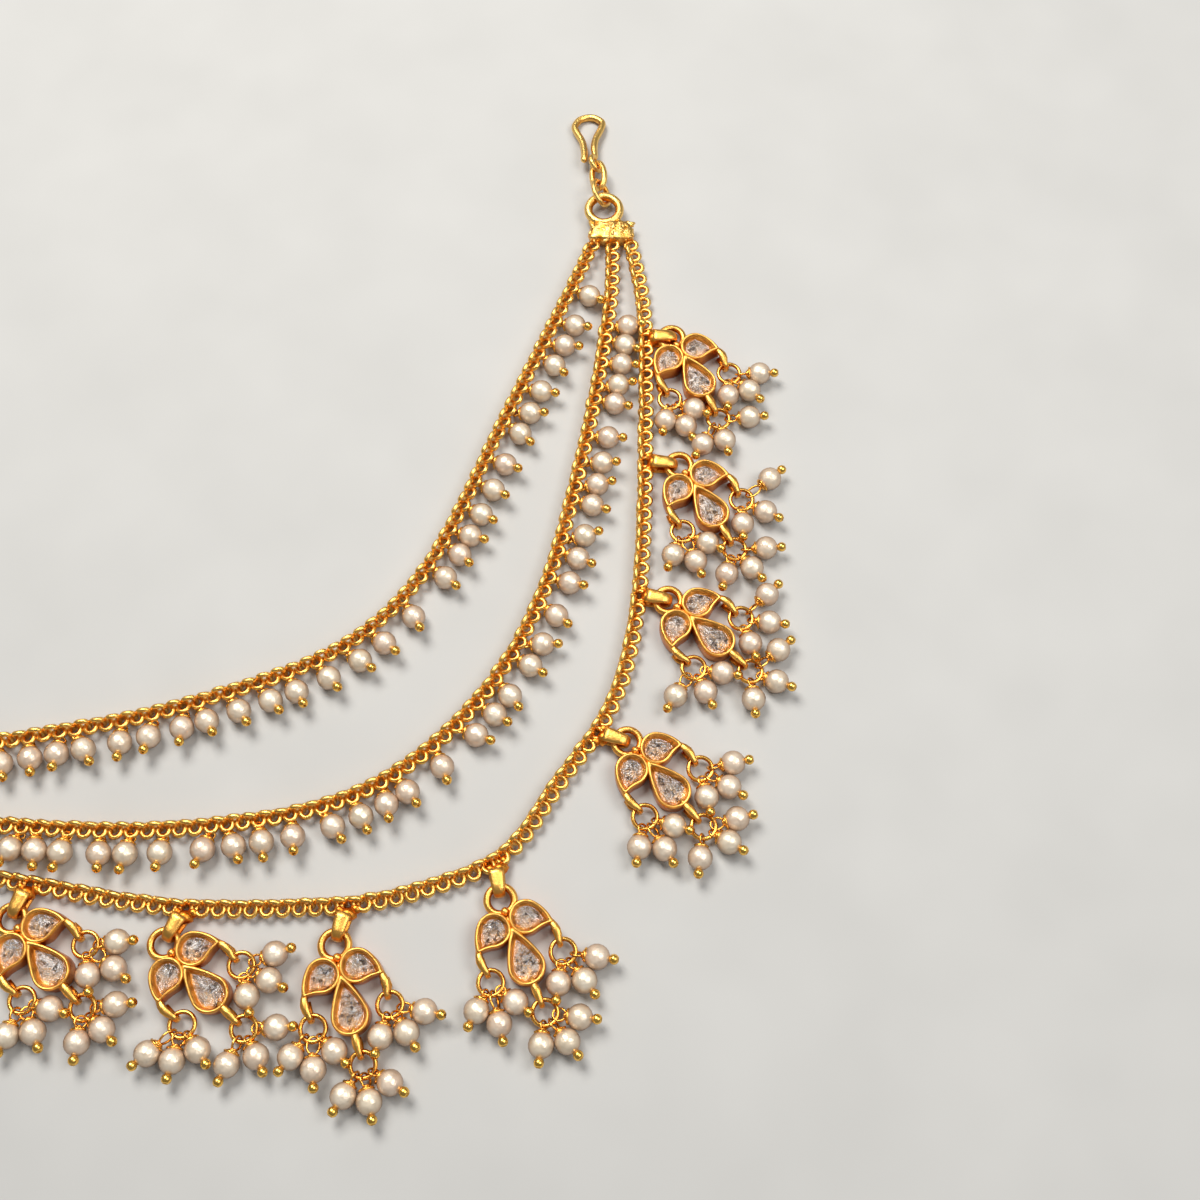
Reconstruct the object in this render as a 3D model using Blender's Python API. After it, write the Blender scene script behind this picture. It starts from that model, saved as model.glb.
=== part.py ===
"""Ear chain: three strands of fine rolo chain between two cast end plates.

The outer strand carries eight trefoil pendants of three set stones, each with three jump rings of
pearl drops. The inner and middle strands carry a row of small pearl drops each. Every end plate
holds a ring, two links and an S-hook. The piece lies on the plane z = 0, in metres, +Z up, and the
origin is the middle of the surface that it covers.

A strand of chain and a row of pearl drops are plain tubes here, of the chain's and pearls' width.
"""
import math

import bmesh
import bpy
import numpy as np
from mathutils import Matrix, Vector

MM = 0.001

# Driving dimensions
CLEARANCE = 0.3 * MM
CHAIN_WIDTH = 2.2 * MM
RING_PITCH = 1.88 * MM
ROUTE_STEP = 3.0
ROUTE_SAMPLES = 3000
ROUTE_AHEAD = 0.1 * MM

PEARL_DIAMETER = 3.0 * MM
PEARL_SIDES = 10
PEARL_BANDS = 4
ROW_START = {"inner": 8.7 * MM, "middle": 17.3 * MM}
ROW_END = {"inner": 13.0 * MM, "middle": 16.0 * MM}

BAIL_WIDTH = 1.5 * MM
BAIL_STRAP = 0.4 * MM
BAIL_HEIGHT = 2.0 * MM
BAIL_REACH = 4.45 * MM

CROWN_RING_DIAMETER = 4.1 * MM
CROWN_RING_WIRE = 0.9 * MM
BEZEL_HEIGHT = 2.4 * MM
BEZEL_WALL = 0.45 * MM
STONE_SINK = 0.6 * MM
CROWN_INSET = 0.7 * MM
CROWN_HEIGHT = 0.4 * MM
SIDE_PETAL_RADIUS = 2.05 * MM
SIDE_PETAL_LENGTH = 3.3 * MM
SIDE_PETAL_BULGE = 5.0 * MM
SIDE_PETAL_HOLLOW = -5.0 * MM
SIDE_PETAL_DOWN = 3.05 * MM
SIDE_PETAL_APART = 2.0 * MM
SIDE_PETAL_TURN = 57.0
LOW_PETAL_RADIUS = 2.2 * MM
LOW_PETAL_LENGTH = 4.9 * MM
LOW_PETAL_BULGE = 14.0 * MM
LOW_PETAL_DOWN = 8.25 * MM
PETAL_ROUND_POINTS = 6
PETAL_SIDE_POINTS = 1

STUB_WIDTH = 0.8 * MM
STUB_STRAP = 0.4 * MM
STUB_RAISE = 0.1 * MM
STUB_REACH = 3.1 * MM
STUB_ROOT = 0.35 * MM
JUMP_RING_DIAMETER = 3.4 * MM
JUMP_RING_WIRE = 0.5 * MM
RING_SIDES = 10
WIRE_SIDES = 5
LINK_POINTS = 10
HOOK_EYE_POINTS = 8
SHARP_ANGLE = 35.0
WELD = 0.01 * MM
MERGE = 0.08 * MM

PLATE_LENGTH = 3.6 * MM
PLATE_WIDTH = 7.0 * MM
PLATE_THICKNESS = 2.4 * MM
PLATE_BEVEL = 0.5 * MM
END_RING_DIAMETER = 5.6 * MM
END_RING_WIRE = 1.2 * MM
END_RING_SOLDER = 1.0 * MM
END_RING_ASIDE = 1.0 * MM
END_HEIGHT = 1.65 * MM
LINK_GAP = 0.25 * MM
NEAR_LINK = {"half_length": 1.9 * MM, "half_width": 1.6 * MM, "wire": 0.75 * MM, "roll": 50.0}
FAR_LINK = {"half_length": 2.15 * MM, "half_width": 1.08 * MM, "wire": 0.85 * MM, "roll": -40.0}
HOOK_WIRE = 1.0 * MM
HOOK_EYE_WIRE = 0.8 * MM
HOOK_LENGTH = 8.0 * MM
HOOK_WIDTH = 4.0 * MM
HOOK_EYE_TURN = 320.0

# Settling of the pearl drops: how far they start and may reach from their ring, the room that they
# keep as shares of the clearance, and how hard they are drawn back to where they started
DROP_SPREAD = 4.9 * MM
DROP_REACH_LIMIT = 4.7 * MM
ROOM_BESIDE_METAL = 1.3
ROOM_BETWEEN_CLUSTERS = 1.5
SETTLING_STEPS = 600
SETTLING_PULL = 0.05
SETTLING_PULL_STEPS = 400
PUSH_SHARE = 0.5
DISCS_ALONG_PETAL = 8
DISCS_ALONG_STRAP = 4

# Layout on the surface, in millimetres: the middle of the piece, then the routes of the strands
LAYOUT_MIDDLE = (-47.8, 7.07)
STRANDS = {
    "inner": [
        (-1.1, 52.6), (-6.2, 40.3), (-12.2, 26.4), (-17.6, 13.2), (-24.1, 0.9), (-33.5, -7.6),
        (-43.2, -11.7), (-55.1, -15.4), (-73.0, -18.9), (-83.0, -21.4), (-90.5, -24.0),
        (-96.0, -26.6),
    ],
    "middle": [
        (1.6, 52.6), (1.5, 45.4), (0.6, 37.5), (-0.8, 28.2), (-3.1, 16.4), (-6.3, 3.5),
        (-11.5, -8.5), (-18.3, -17.4), (-29.0, -25.2), (-42.9, -28.7), (-57.0, -29.7),
        (-71.4, -29.0), (-84.0, -28.7), (-96.0, -29.2),
    ],
    "outer": [
        (4.2, 52.6), (5.6, 45.0), (6.1, 37.5), (6.0, 28.0), (5.8, 18.5), (4.8, 0.3),
        (0.2, -16.5), (-5.8, -25.1), (-10.7, -32.0), (-13.2, -33.8), (-18.4, -35.9),
        (-25.1, -37.8), (-35.0, -38.7),
        (-46.6, -38.8), (-58.4, -37.5), (-70.4, -35.4), (-82.0, -34.4), (-90.0, -33.1),
        (-96.0, -31.8),
    ],
}

# Ends: the turn of the plate, the turn of its hook, and the side that the ring is soldered to
ENDS = {
    "right": {"plate_turn": 90.0, "hook_turn": 98.0, "side": 1.0},
    "left": {"plate_turn": 180.0, "hook_turn": 183.0, "side": -1.0},
}

# Pendants: the chain's ring that holds the bail, counted from the right end, the turn of the bail,
# how far from the chain the crown ring's middle lies, and the turn of the pendant's own axis
PENDANTS = [
    {"ring": 8, "bail": 0, "crown": 3.65 * MM, "axis": -64},
    {"ring": 18, "bail": -6, "crown": 4.6 * MM, "axis": -60},
    {"ring": 28, "bail": -10, "crown": 3.9 * MM, "axis": -43},
    {"ring": 38, "bail": -18, "crown": 4.05 * MM, "axis": -49},
    {"ring": 48.5, "bail": -80, "crown": 4.7 * MM, "axis": -67},
    {"ring": 58, "bail": -104, "crown": 4.85 * MM, "axis": -73},
    {"ring": 68, "bail": -116, "crown": 4.75 * MM, "axis": -43},
    {"ring": 78, "bail": -110, "crown": 4.5 * MM, "axis": -46},
]

# Pearl drops: the turns, read off the picture, in which the three drops of a jump ring lie from the
# stub loop that holds it
DROPS = {
    (1, "right"): (-20, -60, -105),
    (1, "left"): (-35, -75, -115),
    (1, "lower"): (-15, -75, -120),
    (2, "right"): (20, -40, -85),
    (2, "left"): (-30, -60, -90),
    (2, "lower"): (-15, -55, -95),
    (3, "right"): (25, -20, -70),
    (3, "left"): (-20, -60, -105),
    (3, "lower"): (20, -30, -75),
    (4, "right"): (-10, -45, -75),
    (4, "left"): (-25, -50, -80),
    (4, "lower"): (-5, -35, -85),
    (5, "right"): (-30, -60, -85),
    (5, "left"): (-40, -60, -90),
    (5, "lower"): (-30, -55, -80),
    (6, "right"): (-30, -60, -100),
    (6, "left"): (-45, -75, -105),
    (6, "lower"): (-50, -75, -100),
    (7, "right"): (0, -35, -70),
    (7, "left"): (-50, -85, -120),
    (7, "lower"): (-10, -55, -95),
    (8, "right"): (-15, -50, -105),
    (8, "left"): (-30, -55, -85),
    (8, "lower"): (-10, -45, -75),
}

# Hook outline past its eye: shares of the hook's length and of half its width
HOOK_OUTLINE = [
    (0.00, 0.00), (0.22, 0.05), (0.45, 0.30), (0.65, 0.75), (0.82, 0.98), (0.94, 0.65),
    (1.00, 0.00), (0.94, -0.70), (0.80, -1.05), (0.64, -0.95), (0.44, -0.72), (0.27, -0.68),
    (0.10, -0.72), (-0.08, -0.85),
]

GOLD = (0.83, 0.52, 0.16)
PEARL = (0.87, 0.81, 0.72)
SETTING = (0.80, 0.46, 0.12)


def clear_scene():
    """Remove every object, so that the script can be run again."""
    for scene_object in list(bpy.data.objects):
        bpy.data.objects.remove(scene_object, do_unlink=True)


def new_collection(name, hidden):
    """Return a collection linked to the scene."""
    collection = bpy.data.collections.new(name)
    bpy.context.scene.collection.children.link(collection)
    collection.hide_render = hidden
    return collection


def material(name, colour, metallic, roughness):
    """Return a Principled material."""
    result = bpy.data.materials.new(name)
    result.use_nodes = True
    shader = result.node_tree.nodes["Principled BSDF"]
    shader.inputs["Base Color"].default_value = (*colour, 1.0)
    shader.inputs["Metallic"].default_value = metallic
    shader.inputs["Roughness"].default_value = roughness
    return result


def place(name, mesh, collection, finish, matrix=None):
    """Put a mesh in the scene as one named sub-part with one material, shaded smooth."""
    result = bpy.data.objects.new(name, mesh)
    collection.objects.link(result)
    if matrix is not None:
        result.matrix_world = matrix
    if not mesh.materials:
        mesh.materials.append(finish)
    mesh.shade_smooth()
    mesh.set_sharp_from_angle(angle=math.radians(SHARP_ANGLE))
    return result


def mesh_from(bm, name):
    """Turn a bmesh into a mesh whose faces point out."""
    bmesh.ops.recalc_face_normals(bm, faces=bm.faces)
    mesh = bpy.data.meshes.new(name)
    bm.to_mesh(mesh)
    bm.free()
    return mesh


def joined(meshes, name):
    """Join meshes and matrices, given in pairs, into one mesh."""
    bm = bmesh.new()
    for mesh, matrix in meshes:
        part = bmesh.new()
        part.from_mesh(mesh)
        bmesh.ops.transform(part, matrix=matrix, verts=part.verts)
        copy = bpy.data.meshes.new("copy")
        part.to_mesh(copy)
        part.free()
        bm.from_mesh(copy)
        bpy.data.meshes.remove(copy)
    mesh = bpy.data.meshes.new(name)
    bm.to_mesh(mesh)
    bm.free()
    return mesh


def soldered(name, base, additions, guides):
    """Fuse the additions into the base mesh one by one with exact Boolean unions."""
    body = bpy.data.objects.new(name + "_base", base)
    guides.objects.link(body)
    tools = []
    for index, mesh in enumerate(additions):
        tool = bpy.data.objects.new(f"{name}_{index}", mesh)
        guides.objects.link(tool)
        tools.append(tool)
        union = body.modifiers.new(f"union_{index}", "BOOLEAN")
        union.operation = "UNION"
        union.solver = "EXACT"
        union.object = tool
    bpy.context.view_layer.update()
    graph = bpy.context.evaluated_depsgraph_get()
    result = bpy.data.meshes.new_from_object(body.evaluated_get(graph))
    for guide in tools + [body]:
        bpy.data.objects.remove(guide, do_unlink=True)
    bm = bmesh.new()
    bm.from_mesh(result)
    bpy.data.meshes.remove(result)
    bmesh.ops.remove_doubles(bm, verts=bm.verts, dist=MERGE)
    bmesh.ops.dissolve_degenerate(bm, edges=bm.edges, dist=WELD)
    return mesh_from(bm, name)


def wire_mesh(name, points, radius, guides, closed=False, sides=8, thickness=None):
    """Return a round wire along points: a POLY spline with a bevel, its caps welded."""
    curve = bpy.data.curves.new(name, "CURVE")
    curve.dimensions = "3D"
    curve.bevel_depth = radius
    curve.bevel_resolution = (sides - 4) // 2
    curve.use_fill_caps = not closed
    spline = curve.splines.new("POLY")
    spline.points.add(len(points) - 1)
    for index, (point, target) in enumerate(zip(points, spline.points)):
        target.co = (*point, 1.0)
        if thickness is not None:
            target.radius = thickness[index]
    spline.use_cyclic_u = closed
    guide = bpy.data.objects.new(name + "_wire", curve)
    guides.objects.link(guide)
    bpy.context.view_layer.update()
    graph = bpy.context.evaluated_depsgraph_get()
    mesh = bpy.data.meshes.new_from_object(guide.evaluated_get(graph))
    bpy.data.objects.remove(guide, do_unlink=True)
    bm = bmesh.new()
    bm.from_mesh(mesh)
    bpy.data.meshes.remove(mesh)
    bmesh.ops.remove_doubles(bm, verts=bm.verts, dist=WELD)
    return mesh_from(bm, name)


def torus_mesh(name, diameter, wire):
    """Return a round ring in the XY plane, of its outer diameter and its wire's."""
    bpy.ops.mesh.primitive_torus_add(
        major_segments=RING_SIDES, minor_segments=WIRE_SIDES,
        major_radius=(diameter - wire) / 2, minor_radius=wire / 2,
    )
    guide = bpy.context.object
    mesh = guide.data
    bpy.data.objects.remove(guide, do_unlink=True)
    mesh.name = name
    return mesh


def strap_mesh(name, reach, height, strap, width):
    """Return a flat strap bent into a U that opens towards -X, standing on z = 0."""
    inner = reach - strap
    outline = [
        (0, 0), (inner, 0), (reach, strap), (reach, height - strap), (inner, height), (0, height),
        (0, height - strap), (inner, height - strap), (inner, strap), (0, strap),
    ]
    bm = bmesh.new()
    rim = [bm.verts.new((x, -width / 2, z)) for x, z in outline]
    face = bm.faces.new(rim)
    grown = bmesh.ops.extrude_face_region(bm, geom=[face])
    lifted = [item for item in grown["geom"] if isinstance(item, bmesh.types.BMVert)]
    bmesh.ops.translate(bm, vec=(0, width, 0), verts=lifted)
    return mesh_from(bm, name)


def side_leaves(radius, length, bend):
    """Return the turn at which a side of the given bend leaves the round end to reach the tip.

    The side is an arc of radius |bend|, tangent to the round end and bulging where bend is
    positive, so its centre lies (radius - bend) from the origin along the turn.
    """
    off = radius - bend
    return math.acos((length**2 + radius * (radius - 2 * bend)) / (2 * length * off))


def side_points(radius, length, bend, leaves, count):
    """Return points along a side from where it leaves the round end to before the tip."""
    centre = (radius - bend) * np.array([math.cos(leaves), math.sin(leaves)])
    start = radius * np.array([math.cos(leaves), math.sin(leaves)]) - centre
    end = np.array([length, 0.0]) - centre
    swept = math.atan2(start[0] * end[1] - start[1] * end[0], start @ end)
    points = []
    for step in range(1, count + 1):
        turn = swept * step / (count + 1)
        c, s = math.cos(turn), math.sin(turn)
        points.append(centre + np.array([c * start[0] - s * start[1], s * start[0] + c * start[1]]))
    return points


def petal_mesh(name, radius, length, outer, inner):
    """Return a drop-shaped bezel with its stone, its round end at the origin and its tip at +X.

    The outline is an arc for the round end and one for each side, of the bends outer (+Y) and inner
    (-Y). The top face is inset for the wall, sunk for the seat, and inset again and raised for the
    stone's crown and table.
    """
    first = side_leaves(radius, length, outer)
    last = 2 * math.pi - side_leaves(radius, length, inner)
    upper = side_points(radius, length, outer, first, PETAL_SIDE_POINTS)
    lower = side_points(radius, length, inner, 2 * math.pi - last, PETAL_SIDE_POINTS)
    round_end = []
    for turn in np.linspace(first, last, PETAL_ROUND_POINTS):
        round_end.append((radius * math.cos(turn), radius * math.sin(turn)))
    outline = [(length, 0.0), *upper[::-1], *round_end, *[(x, -y) for x, y in lower]]
    bm = bmesh.new()
    rim = [bm.verts.new((x, y, 0.0)) for x, y in outline]
    floor = bm.faces.new(rim)
    grown = bmesh.ops.extrude_face_region(bm, geom=[floor])
    lifted = [item for item in grown["geom"] if isinstance(item, bmesh.types.BMVert)]
    bmesh.ops.translate(bm, vec=(0, 0, BEZEL_HEIGHT), verts=lifted)
    bmesh.ops.recalc_face_normals(bm, faces=bm.faces)
    top = max(bm.faces, key=lambda face: face.calc_center_median().z)
    bmesh.ops.inset_region(bm, faces=[top], thickness=BEZEL_WALL, use_even_offset=True)
    seat = bmesh.ops.extrude_discrete_faces(bm, faces=[top])["faces"][0]
    bmesh.ops.translate(bm, vec=(0, 0, -STONE_SINK), verts=seat.verts)
    bmesh.ops.inset_region(bm, faces=[seat], thickness=CROWN_INSET, use_even_offset=True)
    bmesh.ops.translate(bm, vec=(0, 0, CROWN_HEIGHT), verts=seat.verts)
    return mesh_from(bm, name)


def drop_mesh(name, length):
    """Return a pearl at the origin whose upper pole is drawn out to +Z as its wire neck."""
    bm = bmesh.new()
    bmesh.ops.create_uvsphere(
        bm, u_segments=PEARL_SIDES, v_segments=PEARL_BANDS, radius=PEARL_DIAMETER / 2
    )
    pole = max(bm.verts, key=lambda vert: vert.co.z)
    pole.co.z = length
    return mesh_from(bm, name)


def turned(degrees):
    """Return the unit vector on the surface at a turn from +X."""
    return Vector((math.cos(math.radians(degrees)), math.sin(math.radians(degrees)), 0.0))


def strand_route(points):
    """Return close points on the natural cubic spline through a route, with their distances."""
    given = (np.array(points) - np.array(LAYOUT_MIDDLE)) * MM
    knots = np.concatenate([[0.0], np.cumsum(np.linalg.norm(np.diff(given, axis=0), axis=1))])
    spans = np.diff(knots)
    count = len(given)
    system = np.eye(count)
    right = np.zeros((count, 2))
    for i in range(1, count - 1):
        system[i, i - 1:i + 2] = spans[i - 1], 2 * (spans[i - 1] + spans[i]), spans[i]
        after = (given[i + 1] - given[i]) / spans[i]
        before = (given[i] - given[i - 1]) / spans[i - 1]
        right[i] = 6 * (after - before)
    bend = np.linalg.solve(system, right)
    along = np.linspace(0.0, knots[-1], ROUTE_SAMPLES)
    i = np.clip(np.searchsorted(knots, along, side="right") - 1, 0, count - 2)
    left = (knots[i + 1] - along)[:, None]
    gone = (along - knots[i])[:, None]
    span = spans[i][:, None]
    curve = (bend[i] * left**3 + bend[i + 1] * gone**3) / (6 * span)
    curve += (given[i] / span - bend[i] * span / 6) * left
    curve += (given[i + 1] / span - bend[i + 1] * span / 6) * gone
    lengths = np.linalg.norm(np.diff(curve, axis=0), axis=1)
    return curve, np.concatenate([[0.0], np.cumsum(lengths)])


def point_on(route, distance, aside=0.0):
    """Return the points at distances along a route, moved aside to the outer side of the strand."""
    curve, lengths = route
    distance = np.atleast_1d(distance)

    def spot(at):
        return np.stack([np.interp(at, lengths, curve[:, k]) for k in (0, 1)], axis=1)

    way = spot(distance + ROUTE_AHEAD) - spot(distance - ROUTE_AHEAD)
    way /= np.linalg.norm(way, axis=1)[:, None]
    return spot(distance) + aside * np.stack([-way[:, 1], way[:, 0]], axis=1)


def tube_points(route, start, end, diameter, aside):
    """Return points along a route for a plain tube that rests on the surface."""
    count = max(2, round((end - start) / (ROUTE_STEP * diameter)) + 1)
    places = point_on(route, np.linspace(start, end, count), aside)
    return [(x, y, diameter / 2) for x, y in places]


def pendant_places(route):
    """Return the place of each pendant: its point on the chain and the middle of its crown ring."""
    places = []
    for row in PENDANTS:
        x, y = point_on(route, RING_PITCH * row["ring"])[0]
        attached = Vector((x, y, 0.0))
        places.append((attached, attached + row["crown"] * turned(row["bail"])))
    return places


def build_strands(routes, places, parts, guides, gold):
    """Build the three chain tubes, the outer one with its soldered bails."""
    for name, route in routes.items():
        points = tube_points(route, 0.0, route[1][-1], CHAIN_WIDTH, 0.0)
        mesh = wire_mesh("chain_" + name, points, CHAIN_WIDTH / 2, guides)
        if name == "outer":
            strap = strap_mesh("bail", BAIL_REACH, BAIL_HEIGHT, BAIL_STRAP, BAIL_WIDTH)
            raised = Vector((0.0, 0.0, (CHAIN_WIDTH - BAIL_HEIGHT) / 2))
            bails = []
            for (attached, _), row in zip(places, PENDANTS):
                turn = Matrix.Rotation(math.radians(row["bail"]), 4, "Z")
                bails.append((strap, Matrix.Translation(attached + raised) @ turn))
            mesh = soldered("chain_" + name, mesh, [joined(bails, "bails")], guides)
        place("chain_" + name, mesh, parts, gold)


def build_pearl_rows(routes, parts, guides, pearl):
    """Build the two rows of pearl drops as tubes beside the inner and middle strands."""
    aside = CHAIN_WIDTH / 2 + CLEARANCE + PEARL_DIAMETER / 2
    for name, start in ROW_START.items():
        end = routes[name][1][-1] - ROW_END[name]
        points = tube_points(routes[name], start, end, PEARL_DIAMETER, aside)
        mesh = wire_mesh("pearl_row_" + name, points, PEARL_DIAMETER / 2, guides)
        place("pearl_row_" + name, mesh, parts, pearl)


def stub_roots():
    """Return where each stub loop starts, just inside its petal, with the crown ring at 0.

    The pendant's axis is +X, and all three loops run along it.
    """
    turn = math.radians(SIDE_PETAL_TURN)
    reach = SIDE_PETAL_LENGTH - STUB_ROOT
    down = SIDE_PETAL_DOWN + reach * math.cos(turn)
    apart = SIDE_PETAL_APART + reach * math.sin(turn)
    return {
        "right": Vector((down, apart, STUB_RAISE)),
        "left": Vector((down, -apart, STUB_RAISE)),
        "lower": Vector((LOW_PETAL_DOWN + LOW_PETAL_RADIUS - STUB_ROOT, 0.0, STUB_RAISE)),
    }


def pendant_mesh(guides):
    """Return the trefoil pendant: crown ring, three bezels with stones and three stub loops."""
    low = petal_mesh(
        "low_petal", LOW_PETAL_RADIUS, LOW_PETAL_LENGTH, LOW_PETAL_BULGE, LOW_PETAL_BULGE
    )
    pieces = []
    for sign in (1, -1):
        bends = (SIDE_PETAL_BULGE, SIDE_PETAL_HOLLOW)[::sign]
        side = petal_mesh("side_petal", SIDE_PETAL_RADIUS, SIDE_PETAL_LENGTH, *bends)
        centre = Matrix.Translation((SIDE_PETAL_DOWN, sign * SIDE_PETAL_APART, 0.0))
        turn = Matrix.Rotation(math.radians(sign * SIDE_PETAL_TURN), 4, "Z")
        pieces.append(joined([(side, centre @ turn)], "petal"))
    point_up = Matrix.Translation((LOW_PETAL_DOWN, 0.0, 0.0)) @ Matrix.Rotation(math.pi, 4, "Z")
    base = joined([(low, point_up)], "petal")
    ring = torus_mesh("crown_ring", CROWN_RING_DIAMETER, CROWN_RING_WIRE)
    pieces.append(joined([(ring, Matrix.Translation((0.0, 0.0, CHAIN_WIDTH / 2)))], "crown_ring"))
    height = JUMP_RING_WIRE + 2 * (CLEARANCE + STUB_STRAP)
    loop = strap_mesh("stub", STUB_REACH, height, STUB_STRAP, STUB_WIDTH)
    stubs = [(loop, Matrix.Translation(root)) for root in stub_roots().values()]
    pieces.append(joined(stubs, "stubs"))
    return soldered("pendant", base, pieces, guides)


def build_pendants(places, parts, guides, setting):
    """Build the pendants, which share one mesh."""
    mesh = pendant_mesh(guides)
    for index, ((_, middle), row) in enumerate(zip(places, PENDANTS)):
        turn = Matrix.Rotation(math.radians(row["axis"]), 4, "Z")
        matrix = Matrix.Translation(middle) @ turn
        place(f"pendant_{index + 1}", mesh, parts, setting, matrix)


def flat(vector):
    """Return a vector's place on the surface."""
    return np.array([vector.x, vector.y])


def obstacles(places, route):
    """Return the discs that cover the outer strand, its bails and the pendants: places and radii."""
    curve, lengths = route
    discs = [(point, CHAIN_WIDTH / 2) for point in point_on(route, np.arange(0.0, lengths[-1], MM))]
    turn = math.radians(SIDE_PETAL_TURN)
    petals = [(LOW_PETAL_DOWN, 0.0, math.pi, LOW_PETAL_RADIUS, LOW_PETAL_LENGTH)]
    for sign in (1, -1):
        apart = sign * SIDE_PETAL_APART
        petals.append((SIDE_PETAL_DOWN, apart, sign * turn, SIDE_PETAL_RADIUS, SIDE_PETAL_LENGTH))
    for (attached, middle), row in zip(places, PENDANTS):
        bail_end = attached + BAIL_REACH * turned(row["bail"])
        for share in np.linspace(0.0, 1.0, DISCS_ALONG_STRAP):
            discs.append((flat(attached.lerp(bail_end, share)), BAIL_WIDTH / 2))
        discs.append((flat(middle), CROWN_RING_DIAMETER / 2))
        axis = Matrix.Rotation(math.radians(row["axis"]), 4, "Z")
        for down, apart, way, radius, length in petals:
            for share in np.linspace(0.0, 1.0, DISCS_ALONG_PETAL, endpoint=False):
                reach = share * length
                spot = Vector((down + reach * math.cos(way), apart + reach * math.sin(way), 0.0))
                discs.append((flat(middle + axis @ spot), radius * (1.0 - share)))
        for root in stub_roots().values():
            for share in np.linspace(0.0, 1.0, DISCS_ALONG_STRAP):
                along = Vector((share * STUB_REACH - STUB_WIDTH / 2, 0.0, 0.0))
                discs.append((flat(middle + axis @ (root + along)), STUB_WIDTH / 2))
    return np.array([point for point, _ in discs]), np.array([radius for _, radius in discs])


def pushed(points, centres, needs):
    """Return points moved away from every centre that is nearer than its need."""
    apart = points[:, None] - centres[None]
    distance = np.maximum(np.linalg.norm(apart, axis=2), WELD)
    missing = np.maximum(needs - distance, 0.0)
    push = np.sum(apart / distance[:, :, None] * missing[:, :, None], axis=1)
    return points + PUSH_SHARE * push


def settled_drops(places, route):
    """Return the middles of the jump rings, and of their pearls, at rest clear of all round them.

    Every pearl starts where the picture shows it. The pearls are then pushed off each other, the
    rings, the chain and the pendants, while each stays within reach of its own ring.
    """
    centres, radii = obstacles(places, route)
    hold = Vector((STUB_REACH - STUB_STRAP - CLEARANCE - JUMP_RING_WIRE / 2, 0.0, 0.0))
    beyond = Vector(((JUMP_RING_DIAMETER - JUMP_RING_WIRE) / 2, 0.0, 0.0))
    rings = []
    pearls = []
    for index, ((_, middle), row) in enumerate(zip(places, PENDANTS)):
        axis = Matrix.Rotation(math.radians(row["axis"]), 4, "Z")
        for petal, root in stub_roots().items():
            held = middle + axis @ (root + hold)
            rings.append(flat(held + axis @ beyond))
            turns = DROPS[index + 1, petal]
            pearls.extend([flat(held + DROP_SPREAD * turned(degrees)) for degrees in turns])
    wanted = np.array(pearls)
    rings = np.array(rings)
    pearl = PEARL_DIAMETER / 2
    beside = radii + pearl + ROOM_BESIDE_METAL * CLEARANCE
    nearest = JUMP_RING_DIAMETER / 2 + pearl + CLEARANCE
    own = np.repeat(np.arange(len(rings)), 3)
    same = own[:, None] == own[None]
    between = ROOM_BETWEEN_CLUSTERS * CLEARANCE
    spacing = np.where(same, PEARL_DIAMETER, PEARL_DIAMETER + between)
    np.fill_diagonal(spacing, 0.0)
    spots = wanted.copy()
    for step in range(SETTLING_STEPS):
        pull = SETTLING_PULL * max(0.0, 1.0 - step / SETTLING_PULL_STEPS)
        spots += pull * (wanted - spots)
        spots = pushed(spots, centres, beside)
        spots = pushed(spots, spots, spacing)
        spots = pushed(spots, rings, nearest)
        off = spots - rings[own]
        reach = np.linalg.norm(off, axis=1)[:, None]
        spots = rings[own] + off / reach * np.clip(reach, nearest, DROP_REACH_LIMIT)
    return rings, spots.reshape(-1, 3, 2)


def build_drops(places, route, parts, guides, pearl):
    """Build a jump ring with three pearl drops in each stub loop of each pendant."""
    radius = (JUMP_RING_DIAMETER - JUMP_RING_WIRE) / 2
    height = STUB_RAISE + STUB_STRAP + CLEARANCE + JUMP_RING_WIRE / 2
    ring = torus_mesh("jump_ring", JUMP_RING_DIAMETER, JUMP_RING_WIRE)
    names = [f"pearls_{index + 1}_{petal}" for index in range(len(PENDANTS)) for petal in stub_roots()]
    for name, ring_place, pearl_places in zip(names, *settled_drops(places, route)):
        centre = Vector((*ring_place, height))
        drops = []
        for place_of_pearl in pearl_places:
            bead = Vector((*place_of_pearl, PEARL_DIAMETER / 2))
            way = (Vector((*place_of_pearl, height)) - centre).normalized()
            neck = centre + radius * way - bead
            aim = neck.to_track_quat("Z", "Y").to_matrix().to_4x4()
            drops.append((drop_mesh("drop", neck.length), Matrix.Translation(bead) @ aim))
        own_ring = joined([(ring, Matrix.Translation(centre))], "ring")
        mesh = soldered(name, own_ring, [joined(drops, "drops")], guides)
        place(name, mesh, parts, pearl)


def link_points(link, middle):
    """Return points round an oval link lying along +X, rolled about that axis."""
    roll = Matrix.Rotation(math.radians(link["roll"]), 3, "X")
    points = []
    for step in range(LINK_POINTS):
        turn = 2 * math.pi * step / LINK_POINTS
        along, across = link["half_length"] * math.cos(turn), link["half_width"] * math.sin(turn)
        points.append(Vector((middle, 0.0, 0.0)) + roll @ Vector((along, across, 0.0)))
    return points


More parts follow.
